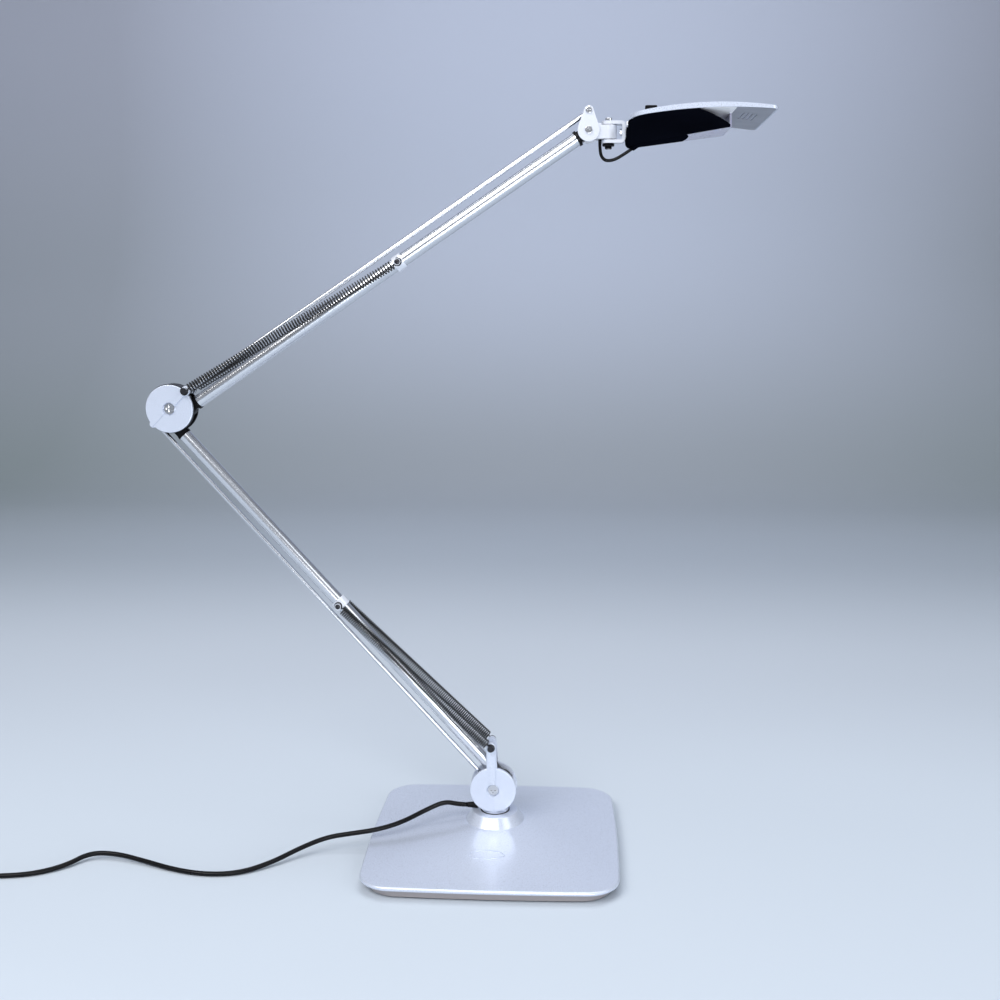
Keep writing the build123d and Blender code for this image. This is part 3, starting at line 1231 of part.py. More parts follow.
def power_plug():
    """A flat two-pin plug with a ribbed strain relief, lying beside the coil."""
    start = coil_wire() @ 1
    along = Vector(1, 0, 0)
    relief = Plane(origin=start, z_dir=along) * Pos(0, 0, PLUG_RELIEF_L / 2) * Cone(
        CORD_D / 2 + 0.8, CORD_D / 2 + 2.2, PLUG_RELIEF_L)
    back = Plane(origin=start + along * (PLUG_RELIEF_L - 1), x_dir=(0, 1, 0), z_dir=along)
    front = Plane(origin=start + along * (PLUG_RELIEF_L - 1 + PLUG_L), x_dir=(0, 1, 0), z_dir=along)
    body = loft([back * RectangleRounded(PLUG_W * 0.55, PLUG_H * 0.8, 4),
                 front * RectangleRounded(PLUG_W, PLUG_H, 5)])
    plug = relief + body
    for side in (-1, 1):
        pin = rod(start + Vector(0, side * PLUG_PIN_PITCH / 2, 0), along, PLUG_PIN_R,
                  PLUG_RELIEF_L + PLUG_L - 3, PLUG_RELIEF_L + PLUG_L - 1 + PLUG_PIN_L)
        plug += fillet(pin.edges().group_by(Axis.X)[-1], 1.2)
    return plug


# ---- the lamp ---------------------------------------------------------------------------------------------
def build():
    """Every piece of the lamp, by name."""
    lower_far = LOWER_TUBE_A + LOWER_DIR * LOWER_COLLAR_AT
    upper_far = UPPER_TUBE_A + UPPER_DIR * UPPER_COLLAR_AT
    lower_back = LOWER_DIR * -1
    upper_back = UPPER_DIR * -1
    return {
        "anti_slip_pad": anti_slip_pad(),
        "base_tray": base_tray(),
        "ballast_plate": ballast_plate(),
        "base_screws": base_screws(),
        "base_cover": base_cover(),
        "swivel_collar": swivel_collar(),
        "swivel_bush": swivel_bush(),
        "swivel_nut": swivel_nut(),
        "lower_joint_core": lower_joint_core(),
        "lower_front_disc": lower_disc(-1),
        "lower_rear_disc": lower_disc(1),
        "lower_joint_bolt": lower_joint_bolt(),
        "lower_arm_pivot_pin": lower_arm_pivot_pin(),
        "lower_spring_posts": lower_spring_posts(),
        "cord_gland": cord_gland(),
        "lower_arm_tube": arm_tube(LOWER_TUBE_A, LOWER_DIR, *LOWER_TUBE_SPAN),
        "lower_arm_bottom_end": arm_end(LOWER_TUBE_A, LOWER_DIR, END_BOSS_R, LOWER_NECK_START, END_NECK_R),
        "lower_arm_top_end": arm_end(LOWER_TUBE_B, lower_back, END_BOSS_R, ELBOW_NECK_START, END_NECK_R,
                                     flat=True),
        "lower_spring_collar": spring_collar(LOWER_TUBE_A, LOWER_DIR, LOWER_COLLAR_AT),
        "lower_spring_front": spring(LOWER_POST, lower_far, -1, LOWER_TURNS),
        "lower_spring_rear": spring(LOWER_POST, lower_far, 1, LOWER_TURNS),
        "lower_arm_wire": arm_wire(LOWER_TUBE_A, LOWER_DIR, LOWER_TUBE_SPAN),
        "lower_link_rod": lower_link_rod(),
        "elbow_core": elbow_core(),
        "elbow_front_disc": elbow_disc(-1),
        "elbow_rear_disc": elbow_disc(1),
        "elbow_screws": elbow_screws(),
        "elbow_pivot_pins": elbow_pivot_pins(),
        "upper_spring_pin": upper_spring_pin(),
        "upper_arm_tube": arm_tube(UPPER_TUBE_A, UPPER_DIR, *UPPER_TUBE_SPAN),
        "upper_arm_bottom_end": arm_end(UPPER_TUBE_A, UPPER_DIR, END_BOSS_R, UPPER_NECK_START, END_NECK_R,
                                        flat=True),
        "upper_arm_end_cap": arm_end(UPPER_TUBE_B, upper_back, CAP_BOSS_R, CAP_NECK_START, CAP_NECK_R,
                                     EAR_IN - 0.1, BOLT_R),
        "upper_spring_collar": spring_collar(UPPER_TUBE_A, UPPER_DIR, UPPER_COLLAR_AT),
        "upper_spring_front": spring(UPPER_ROD_A, upper_far, -1, UPPER_TURNS),
        "upper_spring_rear": spring(UPPER_ROD_A, upper_far, 1, UPPER_TURNS),
        "upper_arm_wire": arm_wire(UPPER_TUBE_A, UPPER_DIR, UPPER_TUBE_SPAN),
        "upper_link_rod": upper_link_rod(),
        "bracket_front_plate": bracket_plate(-1),
        "bracket_rear_plate": bracket_plate(1),
        "bracket_screws": bracket_screws(),
        "pan_block": pan_block(),
        "head_cable": head_cable(),
        "pan_washers": pan_washers(),
        "head_yoke": head_yoke(),
        "pan_bolt": pan_bolt(),
        "pan_knob": pan_knob(),
        "head_stem": head_stem(),
        "head_shell": head_shell(),
        "head_housing": head_housing(),
        "reflector": reflector(),
        "diffuser": diffuser(),
        "vent_panel": vent_panel(),
        "lamp_tube": lamp_tube(),
        "lampholder": lampholder(),
        "control_gear": control_gear(),
        "head_screws": head_screws(),
        "switch_button": switch_button(),
        "power_cord": cord_tube(cord_points(), CORD_D, "power_cord"),
        "power_cord_coil": power_cord_coil(),
        "power_plug": power_plug(),
    }


os.makedirs("parts", exist_ok=True)
for name, shape in build().items():
    solid = Compound(children=list(shape)) if isinstance(shape, list) else shape
    export_step(solid, "parts/" + name + ".step")
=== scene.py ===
import json
import math
import bmesh
import bpy
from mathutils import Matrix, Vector


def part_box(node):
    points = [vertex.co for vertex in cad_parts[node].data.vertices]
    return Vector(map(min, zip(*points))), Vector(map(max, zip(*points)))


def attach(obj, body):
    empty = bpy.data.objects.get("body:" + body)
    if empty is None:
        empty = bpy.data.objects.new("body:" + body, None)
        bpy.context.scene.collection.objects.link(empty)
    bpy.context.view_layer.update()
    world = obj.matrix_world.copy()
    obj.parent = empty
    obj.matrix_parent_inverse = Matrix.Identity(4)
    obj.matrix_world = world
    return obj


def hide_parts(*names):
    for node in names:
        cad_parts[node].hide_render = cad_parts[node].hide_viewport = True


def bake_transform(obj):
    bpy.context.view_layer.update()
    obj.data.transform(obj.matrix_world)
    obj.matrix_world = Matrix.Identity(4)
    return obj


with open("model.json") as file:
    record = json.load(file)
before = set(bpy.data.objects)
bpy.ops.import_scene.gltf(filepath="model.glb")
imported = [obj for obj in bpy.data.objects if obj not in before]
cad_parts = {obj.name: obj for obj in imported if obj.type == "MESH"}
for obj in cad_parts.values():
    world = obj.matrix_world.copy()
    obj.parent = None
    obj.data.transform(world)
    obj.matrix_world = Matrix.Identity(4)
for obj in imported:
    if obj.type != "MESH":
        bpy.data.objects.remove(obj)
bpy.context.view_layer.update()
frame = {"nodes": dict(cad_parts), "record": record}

MM = 0.001
ARM_Y = 10 * MM          # plane of both arms
FULL_TURN = 2 * math.pi
QUARTER_TURN = math.pi / 2

# ---- camera ---------------------------------------------------------------------------------
CAMERA_AT = (0.064, -1.085, 0.510)
CAMERA_PITCH = 9.1       # degrees down
CAMERA_YAW = 3.1         # degrees to the left
CAMERA_LENS = 43.2
CAMERA_SENSOR = 36.0

# ---- springs --------------------------------------------------------------------------------
SPRING_COIL_R = 4.0 * MM
SPRING_WIRE_R = 0.6 * MM
LOWER_PITCH = 2.0 * MM
UPPER_PITCH = 2.7 * MM
SPRING_LEAD = 5.2 * MM   # from a post's middle to the first turn
SPRING_SIDE = 12.4 * MM  # from the arm plane to the middle of a spring
SPRING_STEPS = 14        # points per turn
SPRING_SIDES = 7
HOOK_R = 3.4 * MM
HOOK_START = -90         # degrees
HOOK_SWEEP = 270         # degrees
HOOK_STEPS = 14
BRIDGE_STEPS = 4         # from a hook to the coil

# ---- heads on the collar posts, radius and height in millimetres ------------------------------
CAP_PROFILE = [
    (0.0, 1.75), (1.1, 1.68), (2.2, 1.42), (2.9, 0.95), (3.15, 0.45), (3.15, -0.1), (2.9, -0.25),
    (0.0, -0.25),
]
CAP_SEAT = 14.2 * MM     # inner face of the post heads, from the arm plane
CAP_STEPS = 28

# ---- foam sheet under the tray ----------------------------------------------------------------
PAD_HALF = 85.8 * MM
PAD_POWER = 6.0          # squareness of its outline
PAD_POINTS = 120
# Share of the sheet's reach, and height in millimetres, from the underside to the top.
PAD_RINGS = [(0.35, 0.0), (0.99, 0.0), (0.997, 0.25), (1.0, 0.7), (0.997, 1.2), (0.99, 1.45), (0.35, 1.45)]

# ---- power cord, in millimetres where not said otherwise, as in the solid model ----------------
CORD_D = 4.6 * MM        # in metres
CORD_SIDES = 20
CORD_RESOLUTION = 6
CORD_GROOVE_DEPTH = 0.16   # share of the radius
CORD_GROOVE_WIDTH = 0.34   # sine of the groove's half angle
CORD_LEAD = 9.0          # straight out of the gland
CORD_ROUTE = [
    (-48.5, 10.6, 38.6), (-66, 7.0, 31.5), (-88, -7.0, 24.2), (-110, -16.0, 20.2), (-134, -19.0, 17.2),
    (-158, -21.0, 13.8), (-181, -34.5, 8.6), (-203, -57.0, 4.2), (-229, -76.0, 2.3), (-260, -79.5, 2.3),
    (-291, -71.5, 2.5), (-322, -58.5, 3.6), (-352, -49.0, 5.6), (-377, -49.5, 5.8), (-391, -71.0, 3.2),
    (-416, -88.0, 2.3), (-450, -93.5, 2.3), (-486, -96.5, 2.3),
]
COIL_LEAD = 36.0
COIL_X = -556.0
COIL_Y = -125.5
COIL_R = 30.0
COIL_PITCH = 6.1
COIL_LAYERS = 4
COIL_LAYER_HALF_TURNS = 3
COIL_STEPS = 8           # points per half turn
PLUG_APPROACH = [(0.35, 3.0), (0.8, -1.0)]   # share of the way from the coil to the plug, and rise

# ---- head cable, in millimetres, from the pan block's underside to the boss under the housing ---
CABLE_D = 2.8 * MM       # in metres
CABLE_SIDES = 14
CABLE_RESOLUTION = 10
CABLE_ROUTE = [
    (92.598, 10, 656.155), (92.598, 10, 644.755), (96.198, 10, 638.555), (101.92, 10, 637.755),
    (109.42, 10, 640.271), (121.001, 10, 648.083),
]

# ---- backdrop: a floor that curves up into a wall, in metres ------------------------------------
FLOOR_FRONT = -6.0
FLOOR_FLAT = 1.2         # shading stays level up to here
FLOOR_BACK = 2.0
BEND_R = 1.2
BEND_STEPS = 12
WALL_TOP = 6.0
BACKDROP_HALF = 8
# Painted light and shade by the distance along it, at its middle and at its edges: a pale pool near the
# lamp, a darker band behind it, a lighter band high on the wall, and painted shade that darkens the sides.
BACKDROP_RUN = 5.0
BACKDROP_SIDE = 1.5
BACKDROP_MIDDLE_LIGHT_AND_SHADE = [
    (0.0, (0.585, 0.645, 0.715)), (0.6, (0.56, 0.61, 0.68)), (1.4, (0.45, 0.50, 0.57)),
    (2.4, (0.44, 0.48, 0.53)), (4.0, (0.66, 0.72, 0.86)), (4.8, (0.74, 0.80, 0.96)),
]
BACKDROP_EDGE_SHADE = [
    (0.0, (0.575, 0.635, 0.705)), (0.6, (0.52, 0.575, 0.635)), (1.4, (0.40, 0.45, 0.49)),
    (2.3, (0.34, 0.39, 0.405)), (3.6, (0.42, 0.46, 0.52)), (4.8, (0.52, 0.55, 0.65)),
]

# ---- lights: name, place, target, size in metres, watts, colour ----------------------------------
LIGHTS = [
    ("key", (-1.5, -1.6, 2.4), (0, 0, 0.3), (1.6, 1.2), 38, (1.0, 0.98, 0.96)),
    ("top", (0.1, 0.3, 2.6), (0, 0, 0.2), (1.8, 1.6), 26, (0.94, 0.97, 1.0)),
    ("front", (-0.4, -2.3, 2.1), (0, 0, 0.35), (2.2, 0.9), 32, (0.97, 0.98, 1.0)),
    ("bounce", (0.45, -1.5, 0.12), (0.2, 0, 0.68), (0.9, 0.5), 12, (0.96, 0.97, 1.0)),
    ("fill", (1.9, -1.3, 1.3), (0, 0, 0.4), (1.2, 1.4), 12, (0.92, 0.96, 1.0)),
]
SKY_COLOR = (0.74, 0.78, 0.86)
SKY_STRENGTH = 0.40

# ---- shader nodes ---------------------------------------------------------------------------------
MIX_FACTOR = 0           # sockets of a colour mix
MIX_LOW = 6
MIX_HIGH = 7
MIX_RESULT = 2
NOISE_LOW = 0.3          # most of a noise texture lies between these two
NOISE_HIGH = 0.7
COAT_ROUGHNESS = 0.08


# ---- places read from the frame ----------------------------------------------------------------
def middle(node):
    low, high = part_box(node)
    return (Vector(low) + Vector(high)) / 2


# ---- materials ----------------------------------------------------------------------------------
class Shader:
    """A material with a Principled surface, and small helpers for its procedural detail."""

    def __init__(self, name, color, roughness, metallic=0.0, coat=0.0, specular=0.5, ior=1.45):
        self.material = bpy.data.materials.new(name)
        self.material.use_nodes = True
        self.tree = self.material.node_tree
        self.surface = self.tree.nodes["Principled BSDF"]
        self.color = color
        self.set("Base Color", (*color, 1))
        self.set("Roughness", roughness)
        self.set("Metallic", metallic)
        self.set("Specular IOR Level", specular)
        self.set("IOR", ior)
        if coat:
            self.set("Coat Weight", coat)
            self.set("Coat Roughness", COAT_ROUGHNESS)
        self.coordinates = self.tree.nodes.new("ShaderNodeTexCoord")

    def set(self, socket, value):
        self.surface.inputs[socket].default_value = value

    def link(self, out, socket):
        self.tree.links.new(out, socket)

    def noise(self, scale, detail=3.0, stretch=(1, 1, 1)):
        mapping = self.tree.nodes.new("ShaderNodeMapping")
        mapping.inputs["Scale"].default_value = stretch
        self.link(self.coordinates.outputs["Object"], mapping.inputs["Vector"])
        noise = self.tree.nodes.new("ShaderNodeTexNoise")
        noise.inputs["Scale"].default_value = scale
        noise.inputs["Detail"].default_value = detail
        self.link(mapping.outputs["Vector"], noise.inputs["Vector"])
        return noise.outputs["Fac"]

    def spread(self, factor, low, high):
        """Map a noise texture to a range."""
        remap = self.tree.nodes.new("ShaderNodeMapRange")
        remap.inputs["From Min"].default_value = NOISE_LOW
        remap.inputs["From Max"].default_value = NOISE_HIGH
        remap.inputs["To Min"].default_value = low
        remap.inputs["To Max"].default_value = high
        self.link(factor, remap.inputs["Value"])
        return remap.outputs["Result"]

    def color_mix(self, factor):
        """A mix of two colours that becomes the base colour."""
        mix = self.tree.nodes.new("ShaderNodeMix")
        mix.data_type = "RGBA"
        self.link(factor, mix.inputs[MIX_FACTOR])
        self.link(mix.outputs[MIX_RESULT], self.surface.inputs["Base Color"])
        return mix

    def vary_color(self, factor, amount):
        """Shade the base colour down and up by a share."""
        mix = self.color_mix(self.spread(factor, 0, 1))
        mix.inputs[MIX_LOW].default_value = (*[c * (1 - amount) for c in self.color], 1)
        mix.inputs[MIX_HIGH].default_value = (*[min(1, c * (1 + amount)) for c in self.color], 1)

    def vary_roughness(self, factor, low, high):
        self.link(self.spread(factor, low, high), self.surface.inputs["Roughness"])

    def bump(self, factor, depth, strength):
        bump = self.tree.nodes.new("ShaderNodeBump")
        bump.inputs["Distance"].default_value = depth
        bump.inputs["Strength"].default_value = strength
        self.link(factor, bump.inputs["Height"])
        self.link(bump.outputs["Normal"], self.surface.inputs["Normal"])

    def math(self, operation, first, second):
        """A sum or product of two sockets, or of a socket and a number."""
        node = self.tree.nodes.new("ShaderNodeMath")
        node.operation = operation
        for socket, value in zip(node.inputs, (first, second)):
            if isinstance(value, float):
                socket.default_value = value
            else:
                self.link(value, socket)
        return node.outputs["Value"]


def silver_paint(name, color, roughness=0.28, metallic=0.35):
    """Silver paint on plastic: fine flakes under a clear top."""
    s = Shader(name, color, roughness, metallic=metallic, coat=0.3)
    s.vary_color(s.noise(2600, detail=1.0), 0.02)
    s.vary_roughness(s.noise(2200, detail=1.0), roughness - 0.015, roughness + 0.015)
    return s.material


def satin_metal(name, color, roughness, metallic=0.95):
    """Brushed or plated metal, with a very fine unevenness."""
    s = Shader(name, color, roughness, metallic=metallic)
    s.vary_roughness(s.noise(2400, detail=1.0), roughness - 0.01, roughness + 0.01)
    s.vary_color(s.noise(2000, detail=1.0), 0.02)
    return s.material


def moulded(name, color, roughness, grain_depth=0.00003, grain=1500, coat=0.0, ior=1.45, specular=0.5):
    """Moulded plastic with a fine spark-eroded grain."""
    s = Shader(name, color, roughness, coat=coat, specular=specular, ior=ior)
    s.vary_color(s.noise(25), 0.10)
    s.vary_roughness(s.noise(60), roughness - 0.05, roughness + 0.07)
    s.bump(s.noise(grain, detail=1.5), grain_depth, 0.5)
    return s.material


def housing_black():
    """Deep black matt moulding that takes no shine from the floor at a low angle."""
    s = Shader("housing_black", (0.0026, 0.0030, 0.0055), 0.30, specular=0.0)
    s.vary_color(s.noise(18), 0.25)
    s.vary_roughness(s.noise(22), 0.22, 0.34)
    s.bump(s.noise(1200, detail=1.0), 0.00001, 0.2)
    return s.material


def spring_wire():
    """Black lacquered wire."""
    s = Shader("spring_steel", (0.004, 0.004, 0.005), 0.24, ior=1.5)
    s.vary_color(s.noise(160), 0.30)
    s.vary_roughness(s.noise(300), 0.24, 0.42)
    s.bump(s.noise(2400, detail=1.0), 0.00001, 0.4)
    return s.material


def cord_pvc():
    s = Shader("cord_pvc", (0.002, 0.002, 0.003), 0.26, specular=0.3, ior=1.36)
    s.vary_color(s.noise(90), 0.25)
    s.vary_roughness(s.noise(40), 0.24, 0.40)
    s.bump(s.noise(900, detail=2.0), 0.00002, 0.4)
    return s.material


def foam():
    # Black foam; its black is also painted shade for the gap under the tray.
    s = Shader("pad_foam_gap_shade", (0.020, 0.020, 0.022), 0.85)
    s.vary_color(s.noise(700), 0.35)
    s.vary_roughness(s.noise(500), 0.75, 0.95)
    s.bump(s.noise(1400, detail=3.0), 0.0002, 0.8)
    return s.material


def diffuser_plastic():
    """Milky lavender plastic with fine ribs, which lets some light through."""
    s = Shader("diffuser_lavender", (0.66, 0.65, 0.80), 0.30, coat=0.4)
    s.set("Transmission Weight", 0.30)
    s.set("Subsurface Weight", 0.25)
    s.set("Subsurface Radius", (0.004, 0.004, 0.006))
    ribs = s.noise(700, detail=1.0, stretch=(0.2, 1, 1))
    s.vary_color(s.noise(30), 0.04)
    s.vary_roughness(ribs, 0.26, 0.38)
    s.bump(ribs, 0.00003, 0.3)
    return s.material


def lamp_glass():
    s = Shader("lamp_phosphor", (0.93, 0.93, 0.95), 0.12, coat=0.5)
    s.vary_color(s.noise(55), 0.03)
    s.vary_roughness(s.noise(90), 0.08, 0.18)
    return s.material


def make_materials():
    """One material per slot of the record, and one for the head's housing, which is finished apart."""
    return {
        "silver_plastic": silver_paint("silver_paint", (0.62, 0.67, 0.78)),
        "silver_plate": silver_paint("plate_paint", (0.72, 0.75, 0.82), 0.30, 0.25),
        "tray_plastic": silver_paint("tray_paint", (0.34, 0.31, 0.31), 0.40, 0.10),
        "zinc_steel": satin_metal("zinc_steel", (0.62, 0.62, 0.64), 0.28),
        "bright_steel": satin_metal("bright_steel", (0.70, 0.71, 0.73), 0.18),
        "dark_steel": satin_metal("dark_steel", (0.035, 0.035, 0.040), 0.26, 0.6),
        "satin_tube": satin_metal("satin_tube", (0.66, 0.68, 0.72), 0.22),
        "ballast_steel": moulded("ballast_steel", (0.16, 0.16, 0.17), 0.55, 0.0001, 500),
        "bearing_plastic": moulded("bearing_plastic", (0.010, 0.010, 0.012), 0.45, ior=1.3),
        "black_plastic": moulded("black_plastic", (0.003, 0.003, 0.004), 0.34, ior=1.3, specular=0.3),
        "plug_black": moulded("plug_pvc", (0.008, 0.008, 0.010), 0.38, ior=1.36),
        "reflector_white": moulded("reflector_white", (0.93, 0.94, 0.96), 0.30, 0.00001, coat=0.2),
        "vent_grey": moulded("vent_grey", (0.26, 0.27, 0.31), 0.45),
        "gear_plastic": moulded("gear_plastic", (0.03, 0.03, 0.032), 0.5),
        "foam_pad": foam(),
        "black_spring": spring_wire(),
        "cord_black": cord_pvc(),
        "diffuser_lavender": diffuser_plastic(),
        "lamp_glass": lamp_glass(),
        "head_housing": housing_black(),
    }


def set_slots(materials):
    """Give every solid its material: its own where it has one, or else that of its slot."""
    for sub in frame["record"]["subparts"]:
        obj = frame["nodes"][sub["node"]]
        material = materials.get(sub["node"], materials[sub["material_slot"]])
        if obj.material_slots:
            for slot in obj.material_slots:
                slot.material = material
        else:
            obj.data.materials.append(material)


# ---- mesh helpers ---------------------------------------------------------------------------------
def add_object(name, data):
    obj = bpy.data.objects.new(name, data)
    bpy.context.scene.collection.objects.link(obj)
    return obj


def mesh_object(name, points, faces, material):
    mesh = bpy.data.meshes.new(name)
    mesh.from_pydata([tuple(p) for p in points], [], faces)
    mesh.polygons.foreach_set("use_smooth", [True] * len(mesh.polygons))
    mesh.materials.append(material)
    mesh.update()
    return add_object(name, mesh)


def ring_faces(rings, sides):
    """Quads between rings of points that follow each other."""
    faces = []
    for i in range(rings - 1):
        for k in range(sides):
            a = i * sides + k
            b = i * sides + (k + 1) % sides
            faces.append((a, b, b + sides, a + sides))
    return faces


def end_faces(rings, sides):
    """The faces that close the first and the last ring."""
    return [tuple(range(sides))[::-1], tuple(range((rings - 1) * sides, rings * sides))]


def tangents_of(path):
    last = len(path) - 1
    return [(path[min(i + 1, last)] - path[max(i - 1, 0)]).normalized() for i in range(len(path))]


def tube(name, path, radius, sides, material, section=None):
    """A closed tube along a list of points, with rings that don't twist."""
    tangents = tangents_of(path)
    side = tangents[0].orthogonal().normalized()
    points = []
    for p, t in zip(path, tangents):
        side = (side - t * side.dot(t)).normalized()
        other = t.cross(side)
        for k in range(sides):
            angle = FULL_TURN * k / sides
            reach = radius * (section(angle) if section else 1.0)
            points.append(p + (side * math.cos(angle) + other * math.sin(angle)) * reach)
    rings = len(path)
    return mesh_object(name, points, ring_faces(rings, sides) + end_faces(rings, sides), material)


def nurbs_points(name, points, resolution):
    """Points along the smooth line of a route."""
    curve = bpy.data.curves.new(name, "CURVE")
    curve.dimensions = "3D"
    spline = curve.splines.new("NURBS")
    spline.points.add(len(points) - 1)
    for target, p in zip(spline.points, points):
        target.co = (*p, 1)
    spline.order_u = 3
    spline.use_endpoint_u = True
    spline.resolution_u = resolution
    obj = add_object(name, curve)
    mesh = bpy.data.meshes.new_from_object(obj)
    path = [v.co.copy() for v in mesh.vertices]
    bpy.data.objects.remove(obj)
    bpy.data.meshes.remove(mesh)
    return path


def clean(piece):
    """Merge the points at the poles of a piece and turn its faces outwards."""
    work = bmesh.new()
    work.from_mesh(piece.data)
    bmesh.ops.remove_doubles(work, verts=work.verts, dist=1e-7)
    bmesh.ops.dissolve_degenerate(work, edges=work.edges, dist=1e-8)
    bmesh.ops.recalc_face_normals(work, faces=work.faces)
    work.to_mesh(piece.data)
    work.free()


# ---- springs ----------------------------------------------------------------------------------------
def hook(centre, out, lift):
    """Three quarters of a loop round a post."""
    loop = []
    for k in range(HOOK_STEPS + 1):
        angle = math.radians(HOOK_START + HOOK_SWEEP * k / HOOK_STEPS)
        loop.append(centre + (out * math.cos(angle) + lift * math.sin(angle)) * HOOK_R)
    return loop


def bridge(a, b):
    return [a.lerp(b, k / BRIDGE_STEPS) for k in range(1, BRIDGE_STEPS)]


def spring_path(a, b, pitch):
    """A hook round each post, and open turns between them."""
    along = (b - a).normalized()
    across = Vector((0, 1, 0))
    lift = across.cross(along)
    run = (b - a).length - 2 * SPRING_LEAD
    turns = round(run / pitch)
    steps = turns * SPRING_STEPS
    coil = []
    for k in range(steps + 1):
        phase = FULL_TURN * turns * k / steps + QUARTER_TURN
        spoke = lift * math.cos(phase) + across * math.sin(phase)
        coil.append(a + along * (SPRING_LEAD + run * k / steps) + spoke * SPRING_COIL_R)
    start = hook(a, -along, lift)
    end = hook(b, along, lift)[::-1]
    return start + bridge(start[-1], coil[0]) + coil + bridge(coil[-1], end[0]) + end


def make_spring(node, post_node, collar_node, side, pitch, material):
    """A wound spring from its post to its collar, in place of the solid one."""
    post = middle(post_node)
    collar = middle(collar_node)
    a = Vector((post.x, ARM_Y + side * SPRING_SIDE, post.z))
    b = Vector((collar.x, ARM_Y + side * SPRING_SIDE, collar.z))
    spring = tube(node + "_coil", spring_path(a, b, pitch), SPRING_WIRE_R, SPRING_SIDES, material)
    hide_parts(node)
    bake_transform(spring)


def make_springs(material):
    for place, side in (("front", -1), ("rear", 1)):
        make_spring("lower_spring_" + place, "lower_spring_posts", "lower_spring_collar",
                    side, LOWER_PITCH, material)
        make_spring("upper_spring_" + place, "upper_spring_pin", "upper_spring_collar",
                    side, UPPER_PITCH, material)


def turned_piece(name, profile, centre, side, material):
    """A round piece about the Y axis, from a profile of radius and height in millimetres."""
    points = []
    for radius, height in profile:
        for k in range(CAP_STEPS):
            angle = FULL_TURN * k / CAP_STEPS
            points.append(Vector((centre.x + radius * MM * math.cos(angle),
                                  centre.y + side * height * MM,
                                  centre.z + radius * MM * math.sin(angle))))
    piece = mesh_object(name, points, ring_faces(len(profile), CAP_STEPS), material)
    clean(piece)
    return piece


def make_post_caps(material):
    """The black domed heads on the posts of both spring collars."""
    for label, body in (("lower", "lower_arm"), ("upper", "upper_arm")):
        centre = middle(label + "_spring_collar")
        for place, side in (("front", -1), ("rear", 1)):
            seat = Vector((centre.x, ARM_Y + side * CAP_SEAT, centre.z))
            cap = turned_piece(label + "_collar_cap_" + place, CAP_PROFILE, seat, side, material)
            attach(cap, body)


# ---- foam sheet --------------------------------------------------------------------------------------
def make_foam_sheet(material):
    """The soft-edged foam sheet that the tray rests on; its black also stands as painted shade in the gap
    under the tray.
    """
    points = []
    for share, height in PAD_RINGS:
        for k in range(PAD_POINTS):
            angle = FULL_TURN * k / PAD_POINTS
            c, s = math.cos(angle), math.sin(angle)
            reach = share * PAD_HALF / (abs(c) ** PAD_POWER + abs(s) ** PAD_POWER) ** (1 / PAD_POWER)
            points.append(Vector((reach * c, reach * s, height * MM)))
    rings = len(PAD_RINGS)
    faces = ring_faces(rings, PAD_POINTS) + end_faces(rings, PAD_POINTS)
    sheet = mesh_object("foam_sheet", points, faces, material)
    clean(sheet)
    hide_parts("anti_slip_pad")
    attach(sheet, "base")


# ---- cords -------------------------------------------------------------------------------------------
def coil_point(t):
    """A point of the wound coil, in millimetres, after t half turns."""
    per_layer = COIL_LAYER_HALF_TURNS + 1
    layer = min(int(t // per_layer), COIL_LAYERS - 1)
    step = t - per_layer * layer
    climb = max(0.0, step - COIL_LAYER_HALF_TURNS)
    step = min(step, COIL_LAYER_HALF_TURNS)
    wound = step if layer % 2 == 0 else COIL_LAYER_HALF_TURNS - step
    radius = COIL_R - COIL_PITCH / 2 * wound
    angle = QUARTER_TURN + math.pi * t
    height = CORD_D / MM / 2 + COIL_PITCH * (layer + climb)
    return Vector((COIL_X + radius * math.cos(angle), COIL_Y + radius * math.sin(angle), height))


def coil_route():
    """The lead-in of the coil and its turns, in metres."""
    half_turns = COIL_LAYERS * (COIL_LAYER_HALF_TURNS + 1) - 1
    lead = coil_point(0) + Vector((COIL_LEAD, 0, 0))
    turns = [coil_point(k / COIL_STEPS) for k in range(half_turns * COIL_STEPS + 1)]
    return [p * MM for p in [lead] + turns]


def twin_core(angle):
    """Reach of the flex round its section: two cores with a shallow groove between them."""
    return 1.0 - CORD_GROOVE_DEPTH * math.exp(-(math.sin(angle) / CORD_GROOVE_WIDTH) ** 2)


def end_middle(node):
    """The middle of a piece's face towards -X, where the cord enters it."""
    centre = middle(node)
    return Vector((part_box(node)[0][0], centre.y, centre.z))


def make_power_cord(material):
    """The flex from the gland over the table to its coil and the plug."""
    exit_point = Vector((end_middle("cord_gland").x, ARM_Y, end_middle("cord_gland").z))
    plug = end_middle("power_plug")
    route = [exit_point, exit_point - Vector((CORD_LEAD * MM, 0, 0))]
    route += [Vector(p) * MM for p in CORD_ROUTE]
    route += coil_route()
    last = route[-1]
    route += [last.lerp(plug, share) + Vector((0, 0, rise * MM)) for share, rise in PLUG_APPROACH]
    route.append(plug)
    path = nurbs_points("power_cord_route", route, CORD_RESOLUTION)
    cord = tube("power_cord_flex", path, CORD_D / 2, CORD_SIDES, material, section=twin_core)
    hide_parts("power_cord", "power_cord_coil")
    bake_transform(cord)


def make_head_cable(material):
    """The short flex that hangs between the pan block and the head."""
    route = [Vector(p) * MM for p in CABLE_ROUTE]
    path = nurbs_points("head_cable_route", route, CABLE_RESOLUTION)
    cable = tube("head_cable_flex", path, CABLE_D / 2, CABLE_SIDES, material)
    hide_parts("head_cable")
    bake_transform(cable)


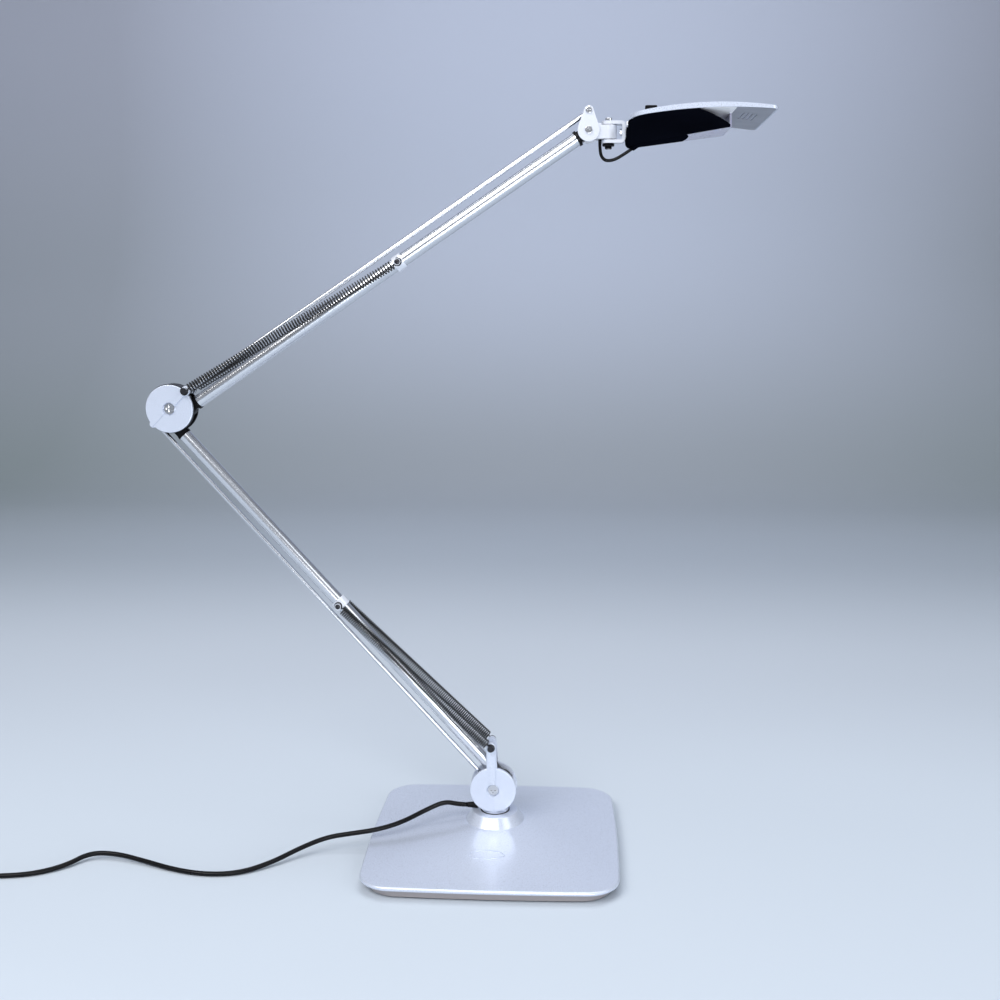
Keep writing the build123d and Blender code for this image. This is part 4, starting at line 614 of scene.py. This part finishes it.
# ---- stage, light and camera -----------------------------------------------------------------------------
def color_ramp(s, run, stops):
    """A colour by the distance along the backdrop."""
    ramp = s.tree.nodes.new("ShaderNodeValToRGB")
    ramp.color_ramp.interpolation = "EASE"
    while len(ramp.color_ramp.elements) < len(stops):
        ramp.color_ramp.elements.new(0.5)
    for element, (place, color) in zip(ramp.color_ramp.elements, stops):
        element.position = place / BACKDROP_RUN
        element.color = (*color, 1)
    s.link(run, ramp.inputs["Fac"])
    return ramp.outputs["Color"]


def backdrop_material():
    """Grey-blue paper with painted light and shade: pale near the lamp, darker behind it, pale again high
    on the wall, and darker towards the sides.
    """
    s = Shader("backdrop", (0.56, 0.60, 0.64), 0.6, specular=0.15)
    split = s.tree.nodes.new("ShaderNodeSeparateXYZ")
    s.link(s.coordinates.outputs["Object"], split.inputs["Vector"])
    run = s.math("ADD", split.outputs["Y"], split.outputs["Z"])
    run = s.math("DIVIDE", run, BACKDROP_RUN)
    # painted shade: the colour darkens from the middle towards the sides
    side = s.math("DIVIDE", split.outputs["X"], BACKDROP_SIDE)
    side = s.math("MULTIPLY", side, side)
    side = s.math("MINIMUM", side, 1.0)
    mix = s.color_mix(side)
    s.link(color_ramp(s, run, BACKDROP_MIDDLE_LIGHT_AND_SHADE), mix.inputs[MIX_LOW])
    s.link(color_ramp(s, run, BACKDROP_EDGE_SHADE), mix.inputs[MIX_HIGH])
    s.vary_roughness(s.noise(3), 0.55, 0.66)
    return s.material


def make_stage():
    """A seamless floor that curves up into a wall."""
    profile = [(FLOOR_FRONT, 0.0), (FLOOR_FLAT, 0.0), (FLOOR_BACK, 0.0)]
    for k in range(1, BEND_STEPS + 1):
        angle = QUARTER_TURN * k / BEND_STEPS
        profile.append((FLOOR_BACK + BEND_R * math.sin(angle), BEND_R * (1 - math.cos(angle))))
    profile.append((FLOOR_BACK + BEND_R, WALL_TOP))
    points = []
    for y, z in profile:
        points += [Vector((-BACKDROP_HALF, y, z)), Vector((BACKDROP_HALF, y, z))]
    faces = [(2 * i, 2 * i + 1, 2 * i + 3, 2 * i + 2) for i in range(len(profile) - 1)]
    mesh_object("backdrop", points, faces, backdrop_material())


def area_light(name, place, target, size, power, color):
    data = bpy.data.lights.new(name, "AREA")
    data.shape = "RECTANGLE"
    data.size, data.size_y = size
    data.energy = power
    data.color = color
    light = add_object(name, data)
    light.location = place
    aim = Vector(target) - Vector(place)
    light.rotation_euler = aim.to_track_quat("-Z", "Y").to_euler()


def make_lights():
    for light in LIGHTS:
        area_light(*light)
    world = bpy.data.worlds.new("studio")
    world.use_nodes = True
    background = world.node_tree.nodes["Background"]
    background.inputs["Color"].default_value = (*SKY_COLOR, 1)
    background.inputs["Strength"].default_value = SKY_STRENGTH
    bpy.context.scene.world = world


def make_camera():
    data = bpy.data.cameras.new("camera")
    data.lens = CAMERA_LENS
    data.sensor_width = CAMERA_SENSOR
    camera = add_object("camera", data)
    camera.location = CAMERA_AT
    camera.rotation_euler = (math.radians(90 - CAMERA_PITCH), 0, math.radians(CAMERA_YAW))
    bpy.context.scene.camera = camera


def main():
    make_camera()
    materials = make_materials()
    make_power_cord(materials["cord_black"])
    make_head_cable(materials["cord_black"])
    set_slots(materials)
    make_springs(materials["black_spring"])
    make_post_caps(materials["dark_steel"])
    make_foam_sheet(materials["foam_pad"])
    make_stage()
    make_lights()
    bpy.context.scene.view_settings.view_transform = "Standard"


main()
